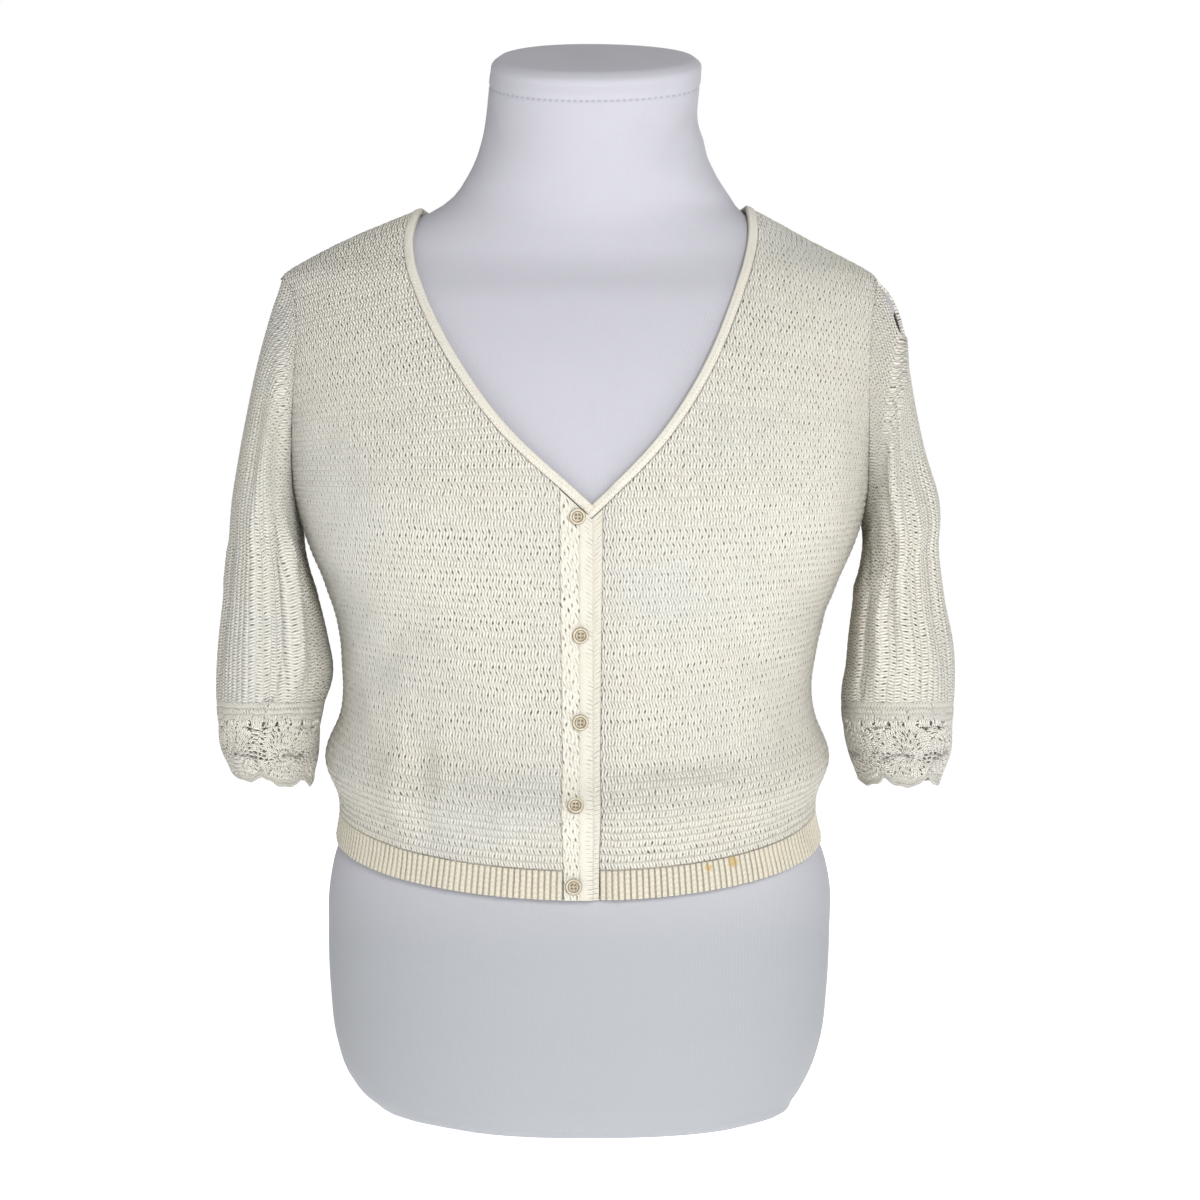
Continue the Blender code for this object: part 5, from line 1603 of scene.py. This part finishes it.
class CardiganColours(bpy.types.PropertyGroup):
    """Colours of the yarn, buttons, form and floor, and of the shade painted on them."""

    cream: colour("Cream", "Crowns of the knit", (0.71, 0.685, 0.612))
    cool: colour("Cool shade", "Cooler patches of the knit", (0.56, 0.57, 0.55))
    warm: colour("Warm shade", "Warmer patches of the knit", (0.66, 0.585, 0.465))
    # Colour of the painted shade in the hollows between the loops of the knit, the lace and the band.
    painted_hollow_shade: colour("Hollows", "Between the loops", (0.085, 0.07, 0.045))
    # Colour of the painted shade between the ribs, in the edgings' hollows and in the grooves of the
    # thread's twist.
    painted_warm_shade: colour("Rib hollows", "Between the ribs", (0.2, 0.15, 0.08))
    rib: colour("Rib", "Crowns of the hem rib", (0.585, 0.555, 0.46))
    trim: colour("Trim", "Bands and neck edging", (0.66, 0.635, 0.56))
    # Colour of the painted shade under the arms and behind the waist.
    ochre: colour("Ochre shade", "Inside folds and under the arms", (0.26, 0.2, 0.1))
    stain: colour("Stain", "Small stains on the hem", (0.50, 0.34, 0.12))
    button: colour("Button", "Buttons", (0.5, 0.43, 0.3))
    # Colour of the painted shade in the buttons' grooves and holes and at their rims.
    painted_button_shade: colour("Button groove", "Grooves and holes of the buttons", (0.12, 0.085, 0.04))
    cover: colour("Cover", "Jersey cover of the form", (0.46, 0.455, 0.5))
    cover_dark: colour("Cover shade", "Darker yarns of the cover", (0.42, 0.42, 0.46))
    # Colour of the painted shade low on the form, darker and greyer.
    cover_painted_low_shade: colour("Low cover", "Greyer cover below the hem", (0.335, 0.35, 0.368))
    cover_thread: colour("Cover thread", "Sewn line at the top of the cover", (0.30, 0.30, 0.36))
    floor: colour("Floor", "Floor and background", (0.97, 0.97, 0.97))


def sizes():
    """The sizes set in the sidebar."""
    return bpy.context.scene.cardigan_sizes


def colours():
    """The colours set in the sidebar."""
    return bpy.context.scene.cardigan_colours


def knit_panel(name, places, centre, under=False):
    """One knitted panel on the body, with its rows of loops."""
    across, up = stitch_places(places, centre)
    u, v = across / (sizes().stitch_width / MM), up / (sizes().stitch_height / MM)
    relief = knit_relief(u, v, sizes().stitch_depth / MM)
    if centre == 0:
        x = body(places[..., 0], places[..., 1])[..., 0]
        ahead = np.maximum(0, np.cos(places[..., 0]))
        relief = relief + creases(SOFT_FOLDS, x, places[..., 1]) * ahead ** 0.3
    return cloth_on_body(name, places, relief, KNIT, (u, v), under)


class CARDIGAN_OT_form(bpy.types.Operator):
    """Build the dress form in its jersey cover"""

    bl_idname = "cardigan.form"
    bl_label = "Dress form"

    def execute(self, context):
        finish(covered_form(), cover_finish(), "form_cover", "dress_form")
        return {"FINISHED"}


class CARDIGAN_OT_panels(bpy.types.Operator):
    """Build the back and the two fronts"""

    bl_idname = "cardigan.panels"
    bl_label = "Back and fronts"

    def execute(self, context):
        material = knit_finish("panel_knit")
        back = finish(knit_panel("knit_back", back_places(14, 12), -pi), material, "knit", "back")
        for side in ("right", "left"):
            places = front_places(side, 150, 18)
            piece = finish(knit_panel("knit_front_" + side, places, 0.0, side == "left"),
                           material, "knit", "front_" + side)
        return {"FINISHED"}


class CARDIGAN_OT_sleeves(bpy.types.Operator):
    """Build the two slit sleeves"""

    bl_idname = "cardigan.sleeves"
    bl_label = "Sleeves"

    def execute(self, context):
        material = knit_finish("sleeve_knit")
        for side in ("right", "left"):
            piece = finish(sleeve(side), material, "knit", "sleeve_" + side)
        return {"FINISHED"}


class CARDIGAN_OT_cuffs(bpy.types.Operator):
    """Crochet the two lace cuffs"""

    bl_idname = "cardigan.cuffs"
    bl_label = "Lace cuffs"

    def execute(self, context):
        material = lace_finish()
        for side in ("right", "left"):
            nodes = [f"cuff_{side}_{half}" for half in ("front", "back")]
            piece = finish(lace_cuff(side), material, "lace", *nodes)
        return {"FINISHED"}


class CARDIGAN_OT_rib(bpy.types.Operator):
    """Build the three runs of the hem rib"""

    bl_idname = "cardigan.rib"
    bl_label = "Hem rib"

    def execute(self, context):
        material = rib_finish()
        runs = (("right", front_foot("right"), SIDE_SEAM - QUARTER, 0.16),
                ("left", front_foot("left"), QUARTER - SIDE_SEAM, 0.16),
                ("back", -QUARTER - SIDE_SEAM, SIDE_SEAM - 3 * QUARTER, 0.33))
        for name, first, last, wide in runs:
            piece = finish(ribbed("ribs_" + name, first, last, name == "left"), material, "rib",
                           "rib_" + name)
        return {"FINISHED"}


class CARDIGAN_OT_trims(bpy.types.Operator):
    """Build the button bands and the neck edging"""

    bl_idname = "cardigan.trims"
    bl_label = "Bands and edging"

    def execute(self, context):
        edge_yarn, band_yarn = trim_finish("trim_yarn"), trim_finish("band_yarn", 0.0)
        pieces = []
        for side, wide in (("right", 0.0195), ("left", 0.016)):
            under = side == "left"
            places = band_places(side, 20, 250)
            crown = 0.35 if under else None
            band = trim_piece("button_band_" + side, places, crown, 2.6, under)
            pieces.append((band, "band_" + side, wide, 0.26))
            places = edging_places(lambda d: beside_neck(side, d, 301), 10)
            pieces.append((trim_piece("neck_edge_" + side, places, 0.9, 2.4, under),
                           "edging_" + side, 0.010, 0.28))
        places = edging_places(lambda d: beside_back_neck(d, 281), 10)
        pieces.append((trim_piece("neck_edge_back", places, 0.9, 2.4), "edging_back", 0.010, 0.24))
        for piece, node, wide, tall in pieces:
            finish(piece, band_yarn if node == "band_right" else edge_yarn, "trim", node)
        return {"FINISHED"}


class CARDIGAN_OT_buttons(bpy.types.Operator):
    """Sew on the five buttons"""

    bl_idname = "cardigan.buttons"
    bl_label = "Buttons"

    def execute(self, context):
        ivory, thread = button_finish(), thread_finish()
        disc, loops = sewn_button()
        for number, (across, height) in enumerate(BUTTONS, 1):
            matrix = button_seat(across, height)
            button = set_on(disc, f"sewn_button_{number}", matrix)
            finish(button, ivory, "button", f"button_{number}")
            for k, loop in enumerate(loops, 1):
                finish(set_on(loop, f"thread_{number}_{k}", matrix), thread, "trim")
        for model in (disc, *loops):
            bpy.data.objects.remove(model)
        return {"FINISHED"}


class CARDIGAN_OT_stage(bpy.types.Operator):
    """Set up the floor, the soft light and the camera"""

    bl_idname = "cardigan.stage"
    bl_label = "Stage"

    def execute(self, context):
        deselect()
        bpy.ops.mesh.primitive_plane_add(size=60, location=(0, 0, 0))
        floor = context.active_object
        floor.name = "floor"
        floor.data.materials.append(floor_finish())
        floor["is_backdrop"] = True
        lamp("key", (0.6, -2.5, 1.0), 1.0, 50)
        lamp("top", (-0.3, -0.6, 3.0), 2.0, 6)
        lamp("back", (0.4, 2.6, 1.3), 1.6, 14)
        context.scene.world = studio_world()
        context.scene.view_settings.view_transform = "Standard"
        size = sizes()
        camera = bpy.data.cameras.new("camera")
        camera.sensor_width = 36
        camera.lens = 36 * size.camera_distance / size.view_width
        holder = bpy.data.objects.new("camera", camera)
        holder.location = (0.00966, -size.camera_distance, size.camera_height)
        holder.rotation_euler = (pi / 2, 0, 0)
        context.scene.collection.objects.link(holder)
        context.scene.camera = holder
        return {"FINISHED"}


SOFT_LIGHT = 0.3                 # strength of the world's light, which is seen as white


def studio_world():
    """Even soft light, seen by the camera as a white background."""
    world = bpy.data.worlds.new("studio")
    world.use_nodes = True
    tree = world.node_tree
    soft, white = tree.nodes["Background"], tree.nodes.new("ShaderNodeBackground")
    for shade, strength in ((soft, SOFT_LIGHT), (white, 1.0)):
        shade.inputs["Color"].default_value = (1.0, 1.0, 1.0, 1.0)
        shade.inputs["Strength"].default_value = strength
    both = tree.nodes.new("ShaderNodeMixShader")
    path = tree.nodes.new("ShaderNodeLightPath")
    tree.links.new(path.outputs["Is Camera Ray"], both.inputs[0])
    tree.links.new(soft.outputs[0], both.inputs[1])
    tree.links.new(white.outputs[0], both.inputs[2])
    tree.links.new(both.outputs[0], tree.nodes["World Output"].inputs["Surface"])
    return world


def lamp(name, place, size, power):
    """Large soft light aimed at the middle of the form."""
    light = bpy.data.lights.new(name, "AREA")
    light.size, light.energy = size, power
    holder = bpy.data.objects.new(name, light)
    holder.location = place
    holder.rotation_euler = (Vector((0, 0, 0.4)) - Vector(place)).to_track_quat("-Z", "Y").to_euler()
    bpy.context.scene.collection.objects.link(holder)


class CARDIGAN_PT_panel(bpy.types.Panel):
    """Sizes, colours and building steps"""

    bl_idname = "CARDIGAN_PT_panel"
    bl_label = "Cardigan"
    bl_space_type = "VIEW_3D"
    bl_region_type = "UI"
    bl_category = "Cardigan"

    def draw(self, context):
        for group in (context.scene.cardigan_sizes, context.scene.cardigan_colours):
            box = self.layout.box()
            for name in group.__annotations__:
                box.prop(group, name)
        for step in STEPS:
            self.layout.operator(step.bl_idname)


STEPS = (CARDIGAN_OT_form, CARDIGAN_OT_panels, CARDIGAN_OT_sleeves, CARDIGAN_OT_cuffs,
         CARDIGAN_OT_rib, CARDIGAN_OT_trims, CARDIGAN_OT_buttons, CARDIGAN_OT_stage)
CLASSES = (CardiganSizes, CardiganColours, *STEPS, CARDIGAN_PT_panel)


def register():
    for kind in CLASSES:
        bpy.utils.register_class(kind)
    bpy.types.Scene.cardigan_sizes = PointerProperty(type=CardiganSizes)
    bpy.types.Scene.cardigan_colours = PointerProperty(type=CardiganColours)


def unregister():
    del bpy.types.Scene.cardigan_colours
    del bpy.types.Scene.cardigan_sizes
    for kind in reversed(CLASSES):
        bpy.utils.unregister_class(kind)


def main():
    register()
    bpy.ops.cardigan.form()
    bpy.ops.cardigan.panels()
    bpy.ops.cardigan.sleeves()
    bpy.ops.cardigan.cuffs()
    bpy.ops.cardigan.rib()
    bpy.ops.cardigan.trims()
    bpy.ops.cardigan.buttons()
    bpy.ops.cardigan.stage()
    {"cad": plain(CAD_BOX), "visual": plain(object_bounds())}


def plain(box):
    """A box's corners as plain lists of numbers."""
    return [[float(number) for number in corner] for corner in box]


if __name__ == "__main__":
    main()
